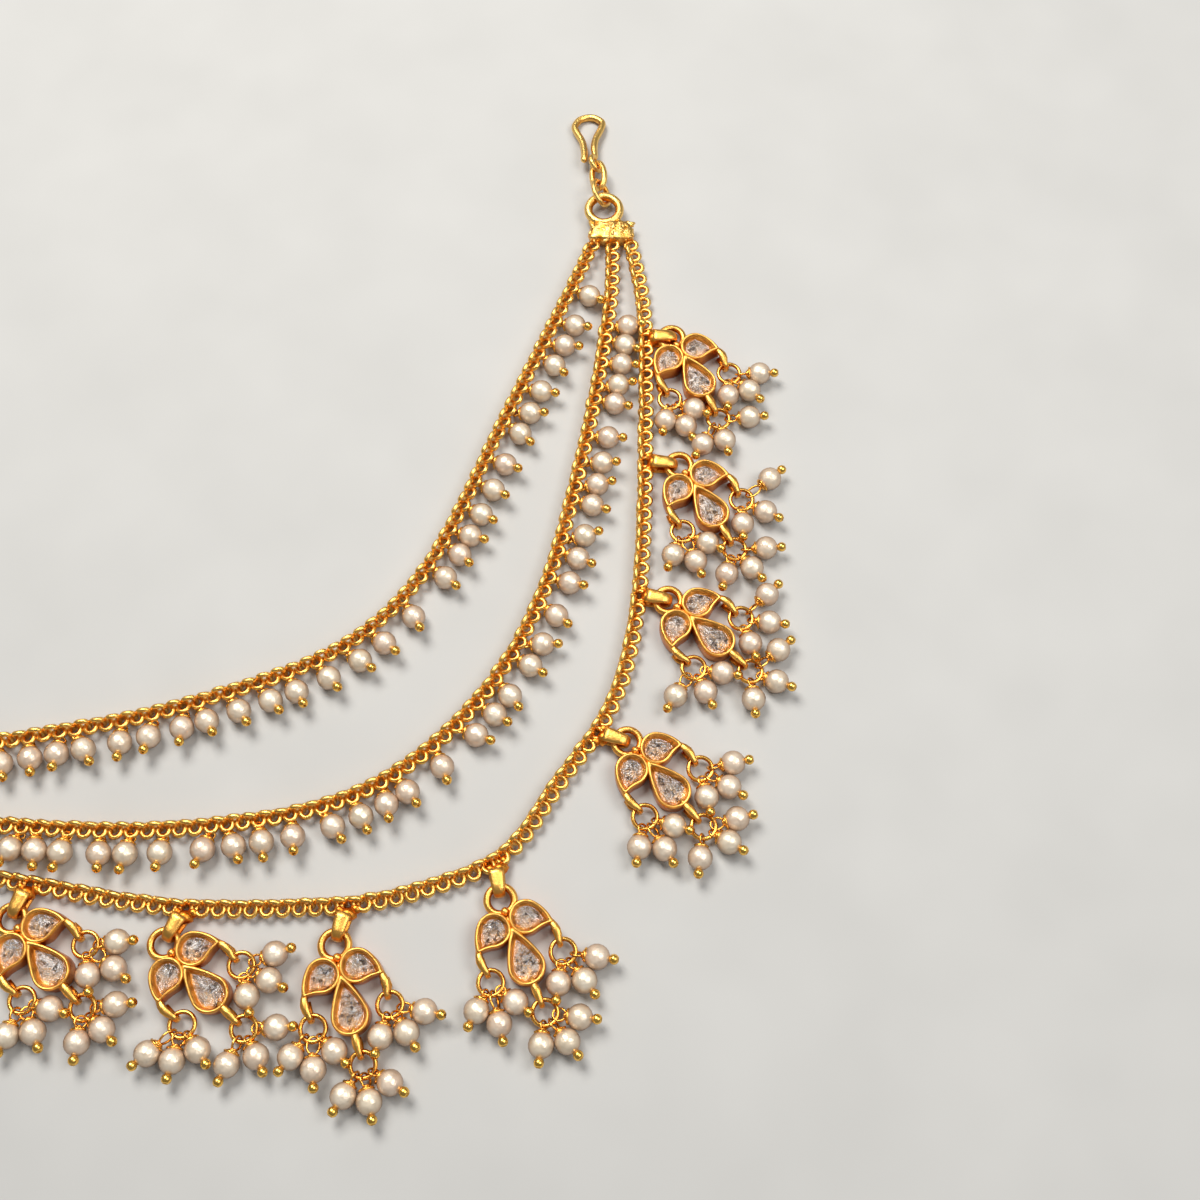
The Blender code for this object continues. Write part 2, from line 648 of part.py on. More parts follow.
def hook_points(eye, far_radius):
    """Return the hook's wire from the curled eye round the teardrop, with its thickness."""
    radius = far_radius + LINK_GAP + HOOK_EYE_WIRE / 2
    roll = Matrix.Rotation(math.radians(NEAR_LINK["roll"]), 3, "X")
    points = []
    thickness = []
    for step in range(HOOK_EYE_POINTS, 0, -1):
        turn = math.radians(HOOK_EYE_TURN) * step / HOOK_EYE_POINTS
        curl = Vector((radius * math.cos(turn), radius * math.sin(turn), 0.0))
        points.append(Vector((eye, 0.0, 0.0)) + roll @ curl)
        thickness.append(HOOK_EYE_WIRE / HOOK_WIRE)
    drop = END_HEIGHT - HOOK_WIRE / 2
    for share, width in HOOK_OUTLINE:
        ahead = eye + radius + share * HOOK_LENGTH
        points.append(Vector((ahead, -width * HOOK_WIDTH / 2, -drop * max(share, 0.0))))
        thickness.append(1.0 if share > 0 or width else HOOK_EYE_WIRE / HOOK_WIRE)
    return points, thickness


def build_end(name, row, routes, parts, guides, gold):
    """Build one end: the plate with its soldered ring, two links and the S-hook."""
    last = 0 if name == "right" else -1
    meets = np.mean([curve[last] for curve, _ in routes.values()], axis=0)
    out = turned(row["plate_turn"])
    edge = Vector((*meets, 0.0)) + CLEARANCE * out
    bm = bmesh.new()
    bmesh.ops.create_cube(bm, size=1.0)
    bmesh.ops.scale(bm, vec=(PLATE_LENGTH, PLATE_WIDTH, PLATE_THICKNESS), verts=bm.verts)
    bmesh.ops.bevel(bm, geom=bm.edges, offset=PLATE_BEVEL, segments=1, affect="EDGES")
    plate = mesh_from(bm, "plate")
    turn = Matrix.Rotation(math.radians(row["plate_turn"]), 4, "Z")
    middle = edge + PLATE_LENGTH / 2 * out
    middle.z = PLATE_THICKNESS / 2
    seated = joined([(plate, Matrix.Translation(middle) @ turn)], "plate")
    centre = edge + (PLATE_LENGTH + END_RING_DIAMETER / 2 - END_RING_SOLDER) * out
    aside = turned(row["plate_turn"] + 90.0) * row["side"] * END_RING_ASIDE
    centre += aside
    centre.z = END_HEIGHT
    ring = torus_mesh("end_ring", END_RING_DIAMETER, END_RING_WIRE)
    own_ring = joined([(ring, Matrix.Translation(centre))], "end_ring")
    place(f"end_plate_{name}", soldered(f"end_plate_{name}", seated, [own_ring], guides), parts, gold)

    frame = Matrix.Translation(centre) @ Matrix.Rotation(math.radians(row["hook_turn"]), 4, "Z")
    inside = END_RING_DIAMETER / 2 - END_RING_WIRE
    near_start = inside - LINK_GAP - NEAR_LINK["wire"] / 2
    near_end = near_start + 2 * NEAR_LINK["half_length"]
    far_start = near_end - NEAR_LINK["wire"] / 2 - LINK_GAP - FAR_LINK["wire"] / 2
    far_end = far_start + 2 * FAR_LINK["half_length"]
    links = (("near_link", NEAR_LINK, near_start), ("far_link", FAR_LINK, far_start))
    for title, link, start in links:
        points = link_points(link, start + link["half_length"])
        mesh = wire_mesh(title, points, link["wire"] / 2, guides, closed=True, sides=6)
        place(f"{title}_{name}", mesh, parts, gold, frame)
    points, thickness = hook_points(far_end, FAR_LINK["wire"] / 2)
    mesh = wire_mesh("hook", points, HOOK_WIRE / 2, guides, sides=6, thickness=thickness)
    place(f"hook_{name}", mesh, parts, gold, frame)


def main():
    """Build the whole ear chain."""
    clear_scene()
    parts = new_collection("ear_chain", hidden=False)
    guides = new_collection("guides", hidden=True)
    gold = material("gold", GOLD, 1.0, 0.3)
    setting = material("setting", SETTING, 1.0, 0.32)
    pearl = material("pearl", PEARL, 0.0, 0.25)
    routes = {name: strand_route(points) for name, points in STRANDS.items()}
    places = pendant_places(routes["outer"])
    build_strands(routes, places, parts, guides, gold)
    build_pearl_rows(routes, parts, guides, pearl)
    build_pendants(places, parts, guides, setting)
    build_drops(places, routes["outer"], parts, guides, pearl)
    for name, row in ENDS.items():
        build_end(name, row, routes, parts, guides, gold)


main()
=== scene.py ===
# %% [markdown]
# # Ear chain
# Three strands of fine gold chain run between two cast end plates. The outer strand carries
# eight trefoil pendants with pearl drops, and the other two carry a row of small pearls each.
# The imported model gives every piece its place. This script gives each its real form and finish.

# %% Load the fixed frame
import math

import bpy
import numpy as np
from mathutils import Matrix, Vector


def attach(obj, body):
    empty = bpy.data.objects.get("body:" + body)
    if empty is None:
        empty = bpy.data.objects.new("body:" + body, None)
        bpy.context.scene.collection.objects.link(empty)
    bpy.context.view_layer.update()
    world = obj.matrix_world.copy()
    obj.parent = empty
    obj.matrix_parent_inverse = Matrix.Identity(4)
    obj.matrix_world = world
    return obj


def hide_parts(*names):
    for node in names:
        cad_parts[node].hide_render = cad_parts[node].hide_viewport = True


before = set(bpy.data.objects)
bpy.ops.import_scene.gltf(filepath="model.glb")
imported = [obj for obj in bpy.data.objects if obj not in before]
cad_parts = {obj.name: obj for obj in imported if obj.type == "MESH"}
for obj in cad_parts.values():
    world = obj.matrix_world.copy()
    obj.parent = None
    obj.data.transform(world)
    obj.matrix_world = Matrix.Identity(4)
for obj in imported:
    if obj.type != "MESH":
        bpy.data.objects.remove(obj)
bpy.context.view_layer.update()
MM = 0.001
UP = np.array([0.0, 0.0, 1.0])
rng = np.random.default_rng(11)
print("nodes:", len(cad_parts))

# %% [markdown]
# ## Surfaces from arrays
# Every form here is a grid of points: a profile carried along a path. numpy works out the whole
# grid at once, which is quick and keeps the formula in sight. A shape also carries two numbers
# per point for its material: a painted shade, high where the point lies in a crevice, and a tone
# of its own.

# %% A shape is a bundle of arrays


class Shape:
    """Points with their faces, and for each point a painted shade and a tone from 0 to 1."""

    def __init__(self, points, quads, tris=(), hollow=0.0, tone=0.5):
        self.points = np.asarray(points, float).reshape(-1, 3)
        self.quads = np.asarray(quads, int).reshape(-1, 4)
        self.tris = np.asarray(tris, int).reshape(-1, 3)
        self.hollow = np.zeros(len(self.points)) + np.ravel(hollow)
        self.tone = np.zeros(len(self.points)) + np.ravel(tone)

    def placed(self, turns, places, tones=None):
        """Repeat the shape: point = turn x point + place, for a stack of turns and places."""
        turns = np.asarray(turns, float).reshape(-1, 3, 3)
        places = np.asarray(places, float).reshape(-1, 3)
        copies = len(places)
        points = np.einsum("kij,nj->kni", turns, self.points) + places[:, None]
        step = (np.arange(copies) * len(self.points))[:, None, None]
        tone = np.tile(self.tone, copies) if tones is None else np.repeat(tones, len(self.points))
        hollow = np.tile(self.hollow, copies)
        return Shape(points, self.quads + step, self.tris + step, hollow, tone)


def together(shapes):
    """Return one shape made of several."""
    starts = np.cumsum([0] + [len(shape.points) for shape in shapes])
    return Shape(
        np.concatenate([shape.points for shape in shapes]),
        np.concatenate([shape.quads + start for shape, start in zip(shapes, starts)]),
        np.concatenate([shape.tris + start for shape, start in zip(shapes, starts)]),
        np.concatenate([shape.hollow for shape in shapes]),
        np.concatenate([shape.tone for shape in shapes]),
    )


def grid_faces(rows, columns, closed_rows, closed_columns):
    """Return the quads of a grid of points, wrapped round where a direction is closed."""
    row = np.arange(rows if closed_rows else rows - 1)[:, None]
    column = np.arange(columns if closed_columns else columns - 1)[None]
    after, beside = (row + 1) % rows, (column + 1) % columns
    corners = (row * columns + column, after * columns + column,
               after * columns + beside, row * columns + beside)
    return np.stack(np.broadcast_arrays(*corners), axis=-1).reshape(-1, 4)


def unit(vectors):
    """Return vectors of length 1."""
    return vectors / np.maximum(np.linalg.norm(vectors, axis=-1, keepdims=True), 1e-12)


def capped(rows, low, high):
    """Return stacked outlines, closed by a fan to a low and a high middle point."""
    count, columns = len(rows), len(rows[0])
    quads = grid_faces(count, columns, False, True)[:, ::-1]
    now = np.arange(columns)
    after = (now + 1) % columns
    floor, top = count * columns, count * columns + 1
    far = (count - 1) * columns
    tris = np.concatenate([
        np.stack([np.full(columns, floor), after, now], axis=1),
        np.stack([np.full(columns, top), far + now, far + after], axis=1),
    ])
    return Shape(np.concatenate([*rows, [low, high]]), quads, tris)


def carried(path, profile, closed=False, up=UP, hollow=0.0):
    """Carry a closed profile along a path: point = path + a x side + b x lift.

    side is the path's direction crossed with up, and lift stands square to both. The profile
    holds (a, b) for each point round the section, or for each step of the path as well. It
    runs round the other way from a lathe's outline, so its rows are capped from last to first.
    """
    path = np.asarray(path, float)
    profile = np.asarray(profile, float)
    if profile.ndim == 2:
        profile = np.broadcast_to(profile, (len(path), *profile.shape))
    if closed:
        way = np.roll(path, -1, axis=0) - np.roll(path, 1, axis=0)
    else:
        way = np.gradient(path, axis=0)
    way = unit(way)
    side = unit(np.cross(way, up))
    lift = np.cross(side, way)
    points = path[:, None] + profile[..., :1] * side[:, None] + profile[..., 1:] * lift[:, None]
    rows, columns = points.shape[:2]
    hollow = np.broadcast_to(hollow, columns)
    if closed:
        return Shape(points, grid_faces(rows, columns, True, True), (), np.tile(hollow, rows))
    shape = capped(points[::-1], path[-1], path[0])
    shape.hollow = np.append(np.tile(hollow, rows), [hollow[-1], hollow[0]])
    return shape


def round_section(radius, sides):
    """Return a circle of (a, b), a = r cos t and b = r sin t."""
    turn = 2 * math.pi * np.arange(sides) / sides
    return radius * np.stack([np.cos(turn), np.sin(turn)], axis=1)


def inner_side(sides):
    """Return how far each side of a bent wire looks to the middle of its bend, from 0 to 1."""
    # The result serves as painted shade, dark on the inner side of a bend.
    return np.clip(-np.cos(2 * math.pi * np.arange(sides) / sides), 0.0, 1.0)


def oval_ring(half_length, half_width, wire, steps, sides, power=1.0):
    """Return a wire bent to an oval in the XY plane: x = a cos t, y = b sin t.

    A power below 1, put on the size of the cosine and the sine, straightens its sides.
    """
    turn = 2 * math.pi * np.arange(steps) / steps
    x = half_length * np.sign(np.cos(turn)) * np.abs(np.cos(turn)) ** power
    y = half_width * np.sign(np.sin(turn)) * np.abs(np.sin(turn)) ** power
    path = np.stack([x, y, 0 * turn], axis=1)
    return carried(path, round_section(wire / 2, sides), True, hollow=inner_side(sides))


def lathe(profile, sides):
    """Turn a profile of (radius, height) round Z; its first and last points lie on the axis."""
    turn = 2 * math.pi * np.arange(sides) / sides
    rows = [
        np.stack([radius * np.cos(turn), radius * np.sin(turn), np.full(sides, height)], axis=1)
        for radius, height in profile[1:-1]
    ]
    return capped(rows, [0, 0, profile[0][1]], [0, 0, profile[-1][1]])


def ball(radius, bands, sides):
    """Return a sphere: a half circle of (r sin t, -r cos t) turned round Z."""
    turn = math.pi * np.arange(bands + 1) / bands
    return lathe(np.stack([radius * np.sin(turn), -radius * np.cos(turn)], axis=1), sides)


def basis(x, y, z):
    """Return turns whose columns are the given directions."""
    return np.stack(np.broadcast_arrays(x, y, z), axis=-1)


def turned(degrees):
    """Return the direction on the surface at a turn from +X."""
    turn = np.radians(degrees)
    return np.stack([np.cos(turn), np.sin(turn), 0 * turn], axis=-1)


print("points of a ball:", len(ball(1.0, 10, 16).points))

# %% [markdown]
# ## Shader maths
# A material is arithmetic on patterns. The class below wraps one output of a node, so that an
# expression such as 1 - mask * 0.5 adds its own Math nodes.

# %% Shader values that add up like numbers


class Signal:
    """One output of a shader node."""

    def __init__(self, finish, socket):
        self.finish = finish
        self.socket = socket

    def _with(self, operation, first, second):
        return self.finish.node("ShaderNodeMath", {"operation": operation}, {0: first, 1: second})

    def __add__(self, other):
        return self._with("ADD", self, other)

    __radd__ = __add__

    def __mul__(self, other):
        return self._with("MULTIPLY", self, other)

    __rmul__ = __mul__

    def __sub__(self, other):
        return self._with("SUBTRACT", self, other)

    def __rsub__(self, other):
        return self._with("SUBTRACT", other, self)


class Finish:
    """A material with one method that makes any node."""

    def __init__(self, name, **sockets):
        self.material = bpy.data.materials.new(name)
        self.material.use_nodes = True
        self.tree = self.material.node_tree
        self.shader = self.tree.nodes["Principled BSDF"]
        for socket, value in sockets.items():
            self.shader.inputs[socket.replace("_", " ")].default_value = value

    def node(self, kind, settings=None, inputs=None, output=0):
        """Add a node with its settings, then feed its inputs with numbers or signals."""
        node = self.tree.nodes.new(kind)
        for name, value in (settings or {}).items():
            if name == "stops":
                ramp = node.color_ramp
                while len(ramp.elements) < len(value):
                    ramp.elements.new(0.5)
                for element, (place, colour) in zip(ramp.elements, value):
                    element.position = place
                    element.color = (*colour, 1.0)
            else:
                setattr(node, name, value)
        for name, value in (inputs or {}).items():
            if isinstance(value, Signal):
                self.tree.links.new(value.socket, node.inputs[name])
            elif isinstance(value, tuple) and len(value) == 3 and node.inputs[name].type == "RGBA":
                node.inputs[name].default_value = (*value, 1.0)
            else:
                node.inputs[name].default_value = value
        return Signal(self, node.outputs[output])

    def place(self):
        """Return the object coordinates in metres."""
        return self.node("ShaderNodeTexCoord", output="Object")

    def attribute(self, name):
        """Return a number stored on the mesh."""
        return self.node("ShaderNodeAttribute", {"attribute_name": name}, output="Fac")

    def noise(self, scale, detail=3.0, roughness=0.5):
        """Return a noise from 0 to 1 with so many waves per metre."""
        return self.node("ShaderNodeTexNoise", None, {
            "Vector": self.place(), "Scale": scale, "Detail": detail, "Roughness": roughness,
        }, output="Fac")

    def mix(self, factor, low, high):
        """Return the colour between two colours."""
        return self.node("ShaderNodeMix", {"data_type": "RGBA"}, {0: factor, 6: low, 7: high}, 2)

    def spread(self, value, low, high, first=0.0, last=1.0):
        """Return a value stretched from one range to another, held at its ends."""
        return self.node("ShaderNodeMapRange", None, {
            "Value": value, "From Min": low, "From Max": high, "To Min": first, "To Max": last,
        })

    def bump(self, height, strength, distance):
        """Return a normal raised by a height."""
        return self.node("ShaderNodeBump", None, {
            "Height": height, "Strength": strength, "Distance": distance,
        })

    def feed(self, **signals):
        """Link signals to the shader's own sockets."""
        for socket, signal in signals.items():
            self.tree.links.new(signal.socket, self.shader.inputs[socket.replace("_", " ")])
        return self.material


# %% [markdown]
# ## Gold
# The metal is a warm yellow plate. It is bright and satin on what sticks out. Shade is painted
# into the crevices as a deep orange: each shape carries a painted shade for that, which a slow
# cloud noise stirs. A fine noise breaks up colour, gloss and surface, as tumbling and wear do.

# %% Gold finishes


def gold_finish(name, bright, shade_and_cloud_colour, rough, grain):
    """Return a plated metal: its own colour where it stands out, with painted shade in its hollows.
    """
    finish = Finish(name, Metallic=1.0)
    cloud = finish.noise(900.0, 4.0, 0.6)
    fine = finish.noise(5200.0, 3.0, 0.6)
    hollow = finish.attribute("hollow")
    # Painted shade: the colour turns deep orange where the painted shade is high, stirred by the
    # cloud.
    shade_and_cloud = finish.spread(hollow + (cloud - 0.5) * 0.9, 0.15, 0.85)
    colour = finish.mix(shade_and_cloud, bright, shade_and_cloud_colour)
    worn = finish.spread(fine, 0.5, 0.75, 0.0, 0.7)
    pale = tuple(min(1.0, part * 1.05 + 0.03) for part in bright)
    colour = finish.mix(worn * (1 - shade_and_cloud), colour, pale)
    gloss = finish.spread(cloud + fine * 0.5, 0.4, 1.1, rough - 0.08, rough + 0.12)
    normal = finish.bump(fine + cloud * 0.6, grain, 0.00006)
    return finish.feed(Base_Color=colour, Roughness=gloss, Normal=normal)


chain_gold = gold_finish("chain_gold", (0.98, 0.58, 0.14), (0.82, 0.33, 0.04), 0.30, 0.4)
setting_gold = gold_finish("setting_gold", (0.95, 0.50, 0.11), (0.60, 0.16, 0.01), 0.30, 0.6)
wire_gold = gold_finish("wire_gold", (0.95, 0.50, 0.10), (0.60, 0.18, 0.01), 0.24, 0.25)
pin_gold = gold_finish("pin_gold", (0.98, 0.58, 0.12), (0.60, 0.22, 0.02), 0.24, 0.15)
solder_gold = gold_finish("solder_gold", (0.90, 0.38, 0.05), (0.60, 0.14, 0.008), 0.30, 0.8)
cast_gold = gold_finish("cast_gold", (0.98, 0.62, 0.18), (0.72, 0.28, 0.03), 0.30, 0.9)
print("nodes of a gold:", len(cast_gold.node_tree.nodes))

# %% [markdown]
# ## Pearl
# The pearls are cream with a faint rose cast. Their lustre comes from a clear coat over a half
# metallic body, and from a slow change of colour over the ball. A painted shade turns each pearl
# brown towards the rim that it shows the camera. The skin is a little uneven, which breaks up the
# highlights. Each pearl has a tone of its own.

# %% Pearl finish


def pearl_finish():
    """Return the pearls' lustre."""
    finish = Finish("pearl_lustre", Coat_Roughness=0.20)
    tone = finish.attribute("tone")
    cloud = finish.noise(550.0, 3.0, 0.6)
    patch = finish.noise(1500.0, 2.0)
    colour = finish.mix(tone, (0.88, 0.68, 0.53), (0.90, 0.77, 0.58))
    colour = finish.mix(finish.spread(cloud, 0.4, 0.7, 0.0, 0.8), colour, (0.95, 0.85, 0.70))
    # Painted shade: the colour darkens to brown towards the rim, as the surface turns from the
    # view.
    painted_rim_shade = finish.node("ShaderNodeLayerWeight", None, {"Blend": 0.5}, output="Facing")
    colour = finish.mix(finish.spread(painted_rim_shade, 0.12, 0.85), colour, (0.36, 0.20, 0.10))
    metal = finish.spread(patch, 0.35, 0.65, 0.32, 0.54)
    gloss = finish.spread(cloud, 0.3, 0.7, 0.32, 0.44)
    coat = finish.spread(patch, 0.3, 0.7, 0.2, 0.5)
    skin = finish.noise(3200.0, 2.0)
    normal = finish.bump(patch + skin * 0.4, 0.5, 0.00018)
    return finish.feed(
        Base_Color=colour, Metallic=metal, Roughness=gloss, Coat_Weight=coat, Normal=normal
    )


pearl_lustre = pearl_finish()
print("nodes of the pearl:", len(pearl_lustre.node_tree.nodes))

# %% [markdown]
# ## Stones
# The stones are foil-backed and crackled: small facets at odd angles, silver and pale grey with
# a little rose. A cell pattern gives each facet a tint and tilts its normal.

# %% Stone finish


def stone_finish():
    """Return the crackled, foil-backed stone."""
    finish = Finish("crackled_stone", Coat_Roughness=0.03, Coat_Weight=0.6)
    cells = finish.node("ShaderNodeTexVoronoi", None, {
        "Vector": finish.place(), "Scale": 2300.0,
    }, output="Color")
    parts = finish.node("ShaderNodeSeparateColor", None, {"Color": cells})
    fine = finish.noise(4200.0, 4.0, 0.7)
    shade = finish.node("ShaderNodeValToRGB", {"stops": [
        (0.0, (0.03, 0.028, 0.028)), (0.29, (0.18, 0.16, 0.16)), (0.46, (0.80, 0.76, 0.74)),
        (0.64, (0.99, 0.98, 0.97)),
    ]}, {"Fac": parts * 0.6 + finish.spread(fine, 0.3, 0.7, 0.0, 0.55)})
    rosy = finish.spread(finish.noise(1200.0, 2.0), 0.45, 0.65, 0.0, 0.16)
    tint = finish.mix(rosy, shade, (0.90, 0.70, 0.62))
    metal = finish.spread(fine, 0.3, 0.6, 0.5, 0.95)
    normal = finish.bump(parts + fine * 1.2, 1.0, 0.00045)
    gloss = finish.spread(fine, 0.35, 0.7, 0.05, 0.28)
    return finish.feed(Base_Color=tint, Metallic=metal, Roughness=gloss, Normal=normal)


crackled_stone = stone_finish()
print("nodes of the stone:", len(crackled_stone.node_tree.nodes))

# %% [markdown]
# ## From shapes to pieces
# A piece is one mesh with one or more finishes. The imported nodes that it replaces are hidden.

# %% Put a piece in the scene


def make_piece(name, parts, nodes, flat=()):
    """Make one mesh from pairs of a shape and its finish, and hide the CAD nodes that it replaces.
    """
    whole = together([shape for shape, _ in parts])
    mesh = bpy.data.meshes.new(name)
    mesh.from_pydata(whole.points.tolist(), [], whole.quads.tolist() + whole.tris.tolist())
    finishes = list(dict.fromkeys(finish for _, finish in parts))
    for finish in finishes:
        mesh.materials.append(finish)
    own = [finishes.index(finish) for _, finish in parts]
    index = np.concatenate([
        np.repeat(own, [len(shape.quads) for shape, _ in parts]),
        np.repeat(own, [len(shape.tris) for shape, _ in parts]),
    ]).astype(np.int32)
    mesh.polygons.foreach_set("material_index", index)
    smooth = np.array([finish not in flat for finish in finishes])[index]
    mesh.polygons.foreach_set("use_smooth", smooth)
    for title, values in (("hollow", whole.hollow), ("tone", whole.tone)):
        layer = mesh.attributes.new(title, "FLOAT", "POINT")
        layer.data.foreach_set("value", values.astype(np.float32))
    mesh.validate()
    piece = bpy.data.objects.new(name, mesh)
    bpy.context.scene.collection.objects.link(piece)
    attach(piece, "root")
    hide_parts(*nodes)
    print(name, len(mesh.polygons), "faces")


# %% [markdown]
# ## The layout
# The strands lie on smooth curves through a few points, which were read off the photograph and
# are the same as in the model's source. Every ring of the chain has its place along such a curve.

# %% Routes of the strands
LAYOUT_MIDDLE = np.array([-47.8, 7.07])
STRANDS = {
    "inner": [
        (-1.1, 52.6), (-6.2, 40.3), (-12.2, 26.4), (-17.6, 13.2), (-24.1, 0.9), (-33.5, -7.6),
        (-43.2, -11.7), (-55.1, -15.4), (-73.0, -18.9), (-83.0, -21.4), (-90.5, -24.0),
        (-96.0, -26.6),
    ],
    "middle": [
        (1.6, 52.6), (1.5, 45.4), (0.6, 37.5), (-0.8, 28.2), (-3.1, 16.4), (-6.3, 3.5),
        (-11.5, -8.5), (-18.3, -17.4), (-29.0, -25.2), (-42.9, -28.7), (-57.0, -29.7),
        (-71.4, -29.0), (-84.0, -28.7), (-96.0, -29.2),
    ],
    "outer": [
        (4.2, 52.6), (5.6, 45.0), (6.1, 37.5), (6.0, 28.0), (5.8, 18.5), (4.8, 0.3),
        (0.2, -16.5), (-5.8, -25.1), (-10.7, -32.0), (-13.2, -33.8), (-18.4, -35.9),
        (-25.1, -37.8), (-35.0, -38.7), (-46.6, -38.8), (-58.4, -37.5), (-70.4, -35.4),
        (-82.0, -34.4), (-90.0, -33.1), (-96.0, -31.8),
    ],
}
RING_PITCH = 1.88 * MM
CHAIN_WIDTH = 2.2 * MM


class Route:
    """A natural cubic spline through the points of a strand, measured along its length."""

    def __init__(self, points):
        given = (np.array(points) - LAYOUT_MIDDLE) * MM
        knots = np.append(0.0, np.cumsum(np.linalg.norm(np.diff(given, axis=0), axis=1)))
        spans = np.diff(knots)
        system = np.eye(len(given))
        inside = np.arange(1, len(given) - 1)
        system[inside, inside - 1] = spans[:-1]
        system[inside, inside] = 2 * (spans[:-1] + spans[1:])
        system[inside, inside + 1] = spans[1:]
        slope = np.diff(given, axis=0) / spans[:, None]
        right = np.zeros_like(given)
        right[1:-1] = 6 * np.diff(slope, axis=0)
        bend = np.linalg.solve(system, right)
        along = np.linspace(0.0, knots[-1], 3000)
        i = np.clip(np.searchsorted(knots, along, side="right") - 1, 0, len(spans) - 1)
        ahead, gone = (knots[i + 1] - along)[:, None], (along - knots[i])[:, None]
        span = spans[i][:, None]
        self.curve = (bend[i] * ahead**3 + bend[i + 1] * gone**3) / (6 * span)
        self.curve += (given[i] / span - bend[i] * span / 6) * ahead
        self.curve += (given[i + 1] / span - bend[i + 1] * span / 6) * gone
        steps = np.linalg.norm(np.diff(self.curve, axis=0), axis=1)
        self.lengths = np.append(0.0, np.cumsum(steps))

    def at(self, distance):
        """Return places at distances, with the way along and the way to the outer side."""
        distance = np.atleast_1d(distance)

        def spot(at):
            return np.stack([np.interp(at, self.lengths, self.curve[:, k]) for k in (0, 1)], axis=1)

        way = unit(spot(distance + 0.1 * MM) - spot(distance - 0.1 * MM))
        none = np.zeros(len(distance))
        place = np.column_stack([spot(distance), none + CHAIN_WIDTH / 2])
        return place, np.column_stack([way, none]), np.column_stack([-way[:, 1], way[:, 0], none])


routes = {name: Route(points) for name, points in STRANDS.items()}
print("strand lengths in mm:", {name: round(r.lengths[-1] / MM, 1) for name, r in routes.items()})

# %% [markdown]
# ## The chain
# It is a rolo chain: round links of thick wire, every second one turned on its edge, so that it
# shows as a short bar near the inner side. One small link of each kind is worked out once and
# repeated, which keeps thousands of faces light.

# %% Links of the three strands
FLAT_LENGTH = 2.02 * MM
UPRIGHT_LENGTH = 2.05 * MM
LINK_WIDTH = 2.28 * MM
FLAT_WIRE = 0.64 * MM
UPRIGHT_WIRE = 0.68 * MM
FLAT_ASIDE = 0.14 * MM
UPRIGHT_ASIDE = -0.34 * MM
UPRIGHT_SKEW = -7.0
LEAN_WAVE = 23.0 * MM
ROLL_PLAY = 4.0
SKEW_PLAY = 2.5
LEAN = {
    "inner": {"flat": (16.0, 34.0), "upright": 8.0},
    "middle": {"flat": (8.0, 22.0), "upright": 11.0},
    "outer": {"flat": (0.0, 14.0), "upright": 14.0},
}


def chain_link(length, wire, steps, power=1.0):
    """Return one link in the XY plane, of a length and of the chain's width."""
    return oval_ring((length - wire) / 2, (LINK_WIDTH - wire) / 2, wire, steps, 5, power)


def chain_links(route, lean):
    """Return the links of a strand: flat ones on each ring place and upright ones between.

    A link's own X lies along the strand. Its Y lies across it, turned about the strand by the
    lean, and by a quarter turn more for the upright links, which also sit nearer the inner side.
    """
    flat_link = chain_link(FLAT_LENGTH, FLAT_WIRE, 14)
    upright_link = chain_link(UPRIGHT_LENGTH, UPRIGHT_WIRE, 16, 0.5)
    count = int(route.lengths[-1] / (RING_PITCH / 2))
    index = np.arange(count + 1)
    upright = index % 2 == 1
    distance = index * RING_PITCH / 2
    place, way, out = route.at(distance)
    place = place + np.where(upright, UPRIGHT_ASIDE, FLAT_ASIDE)[:, None] * out
    wave = np.sin(distance / LEAN_WAVE) * 0.5 + 0.5
    flat_roll = lean["flat"][0] + (lean["flat"][1] - lean["flat"][0]) * wave
    roll = np.where(upright, 90.0 + lean["upright"], flat_roll)
    roll = np.radians(roll + rng.normal(0.0, ROLL_PLAY, len(index)))
    across = np.cos(roll)[:, None] * out + np.sin(roll)[:, None] * UP
    skew = np.where(upright, UPRIGHT_SKEW, 0.0) + rng.normal(0.0, SKEW_PLAY, len(index))
    skew = np.radians(skew)[:, None]
    lean_way = np.cos(skew) * way + np.sin(skew) * out
    way = unit(lean_way - across * np.sum(lean_way * across, axis=1, keepdims=True))
    turns = basis(way, across, np.cross(way, across))
    return together([
        flat_link.placed(turns[~upright], place[~upright]),
        upright_link.placed(turns[upright], place[upright]),
    ])


strand_links = {name: chain_links(route, LEAN[name]) for name, route in routes.items()}
for name in ("inner", "middle"):
    make_piece(f"{name}_chain", [(strand_links[name], chain_gold)], [f"chain_{name}"])

# %% [markdown]
# ## Bails
# Each pendant hangs in a domed strap that is bent over its ring and soldered to the chain, so
# the strap is one section carried along a U. The solder has flooded the two rings beside it and
# shows deep orange: squashed balls pushed about by slow waves.

# %% Bails and their solder
PENDANTS = np.array([
    # ring of the strand, turn of the bail, reach to the crown's middle, turn of the axis
    (8, 0, 3.65, -64), (18, -6, 4.6, -60), (28, -10, 3.9, -43), (38, -18, 4.05, -49),
    (48.5, -80, 4.7, -67), (58, -104, 4.85, -73), (68, -116, 4.75, -43), (78, -110, 4.5, -46),
])
BAIL_REACH = 4.45 * MM
BAIL_WIDTH = 1.75 * MM
BAIL_STRAP = 0.55 * MM
BAIL_RISE = 0.85 * MM
SOLDER_AHEAD = 1.15 * MM
SIDE_SOLDER_AHEAD = 0.6 * MM

bail_ring, bail_turn, crown_reach, axis_turn = PENDANTS.T
joint, joint_way, joint_out = routes["outer"].at(RING_PITCH * bail_ring)
bail_way = turned(bail_turn)
crown = joint * [1, 1, 0] + crown_reach[:, None] * MM * bail_way


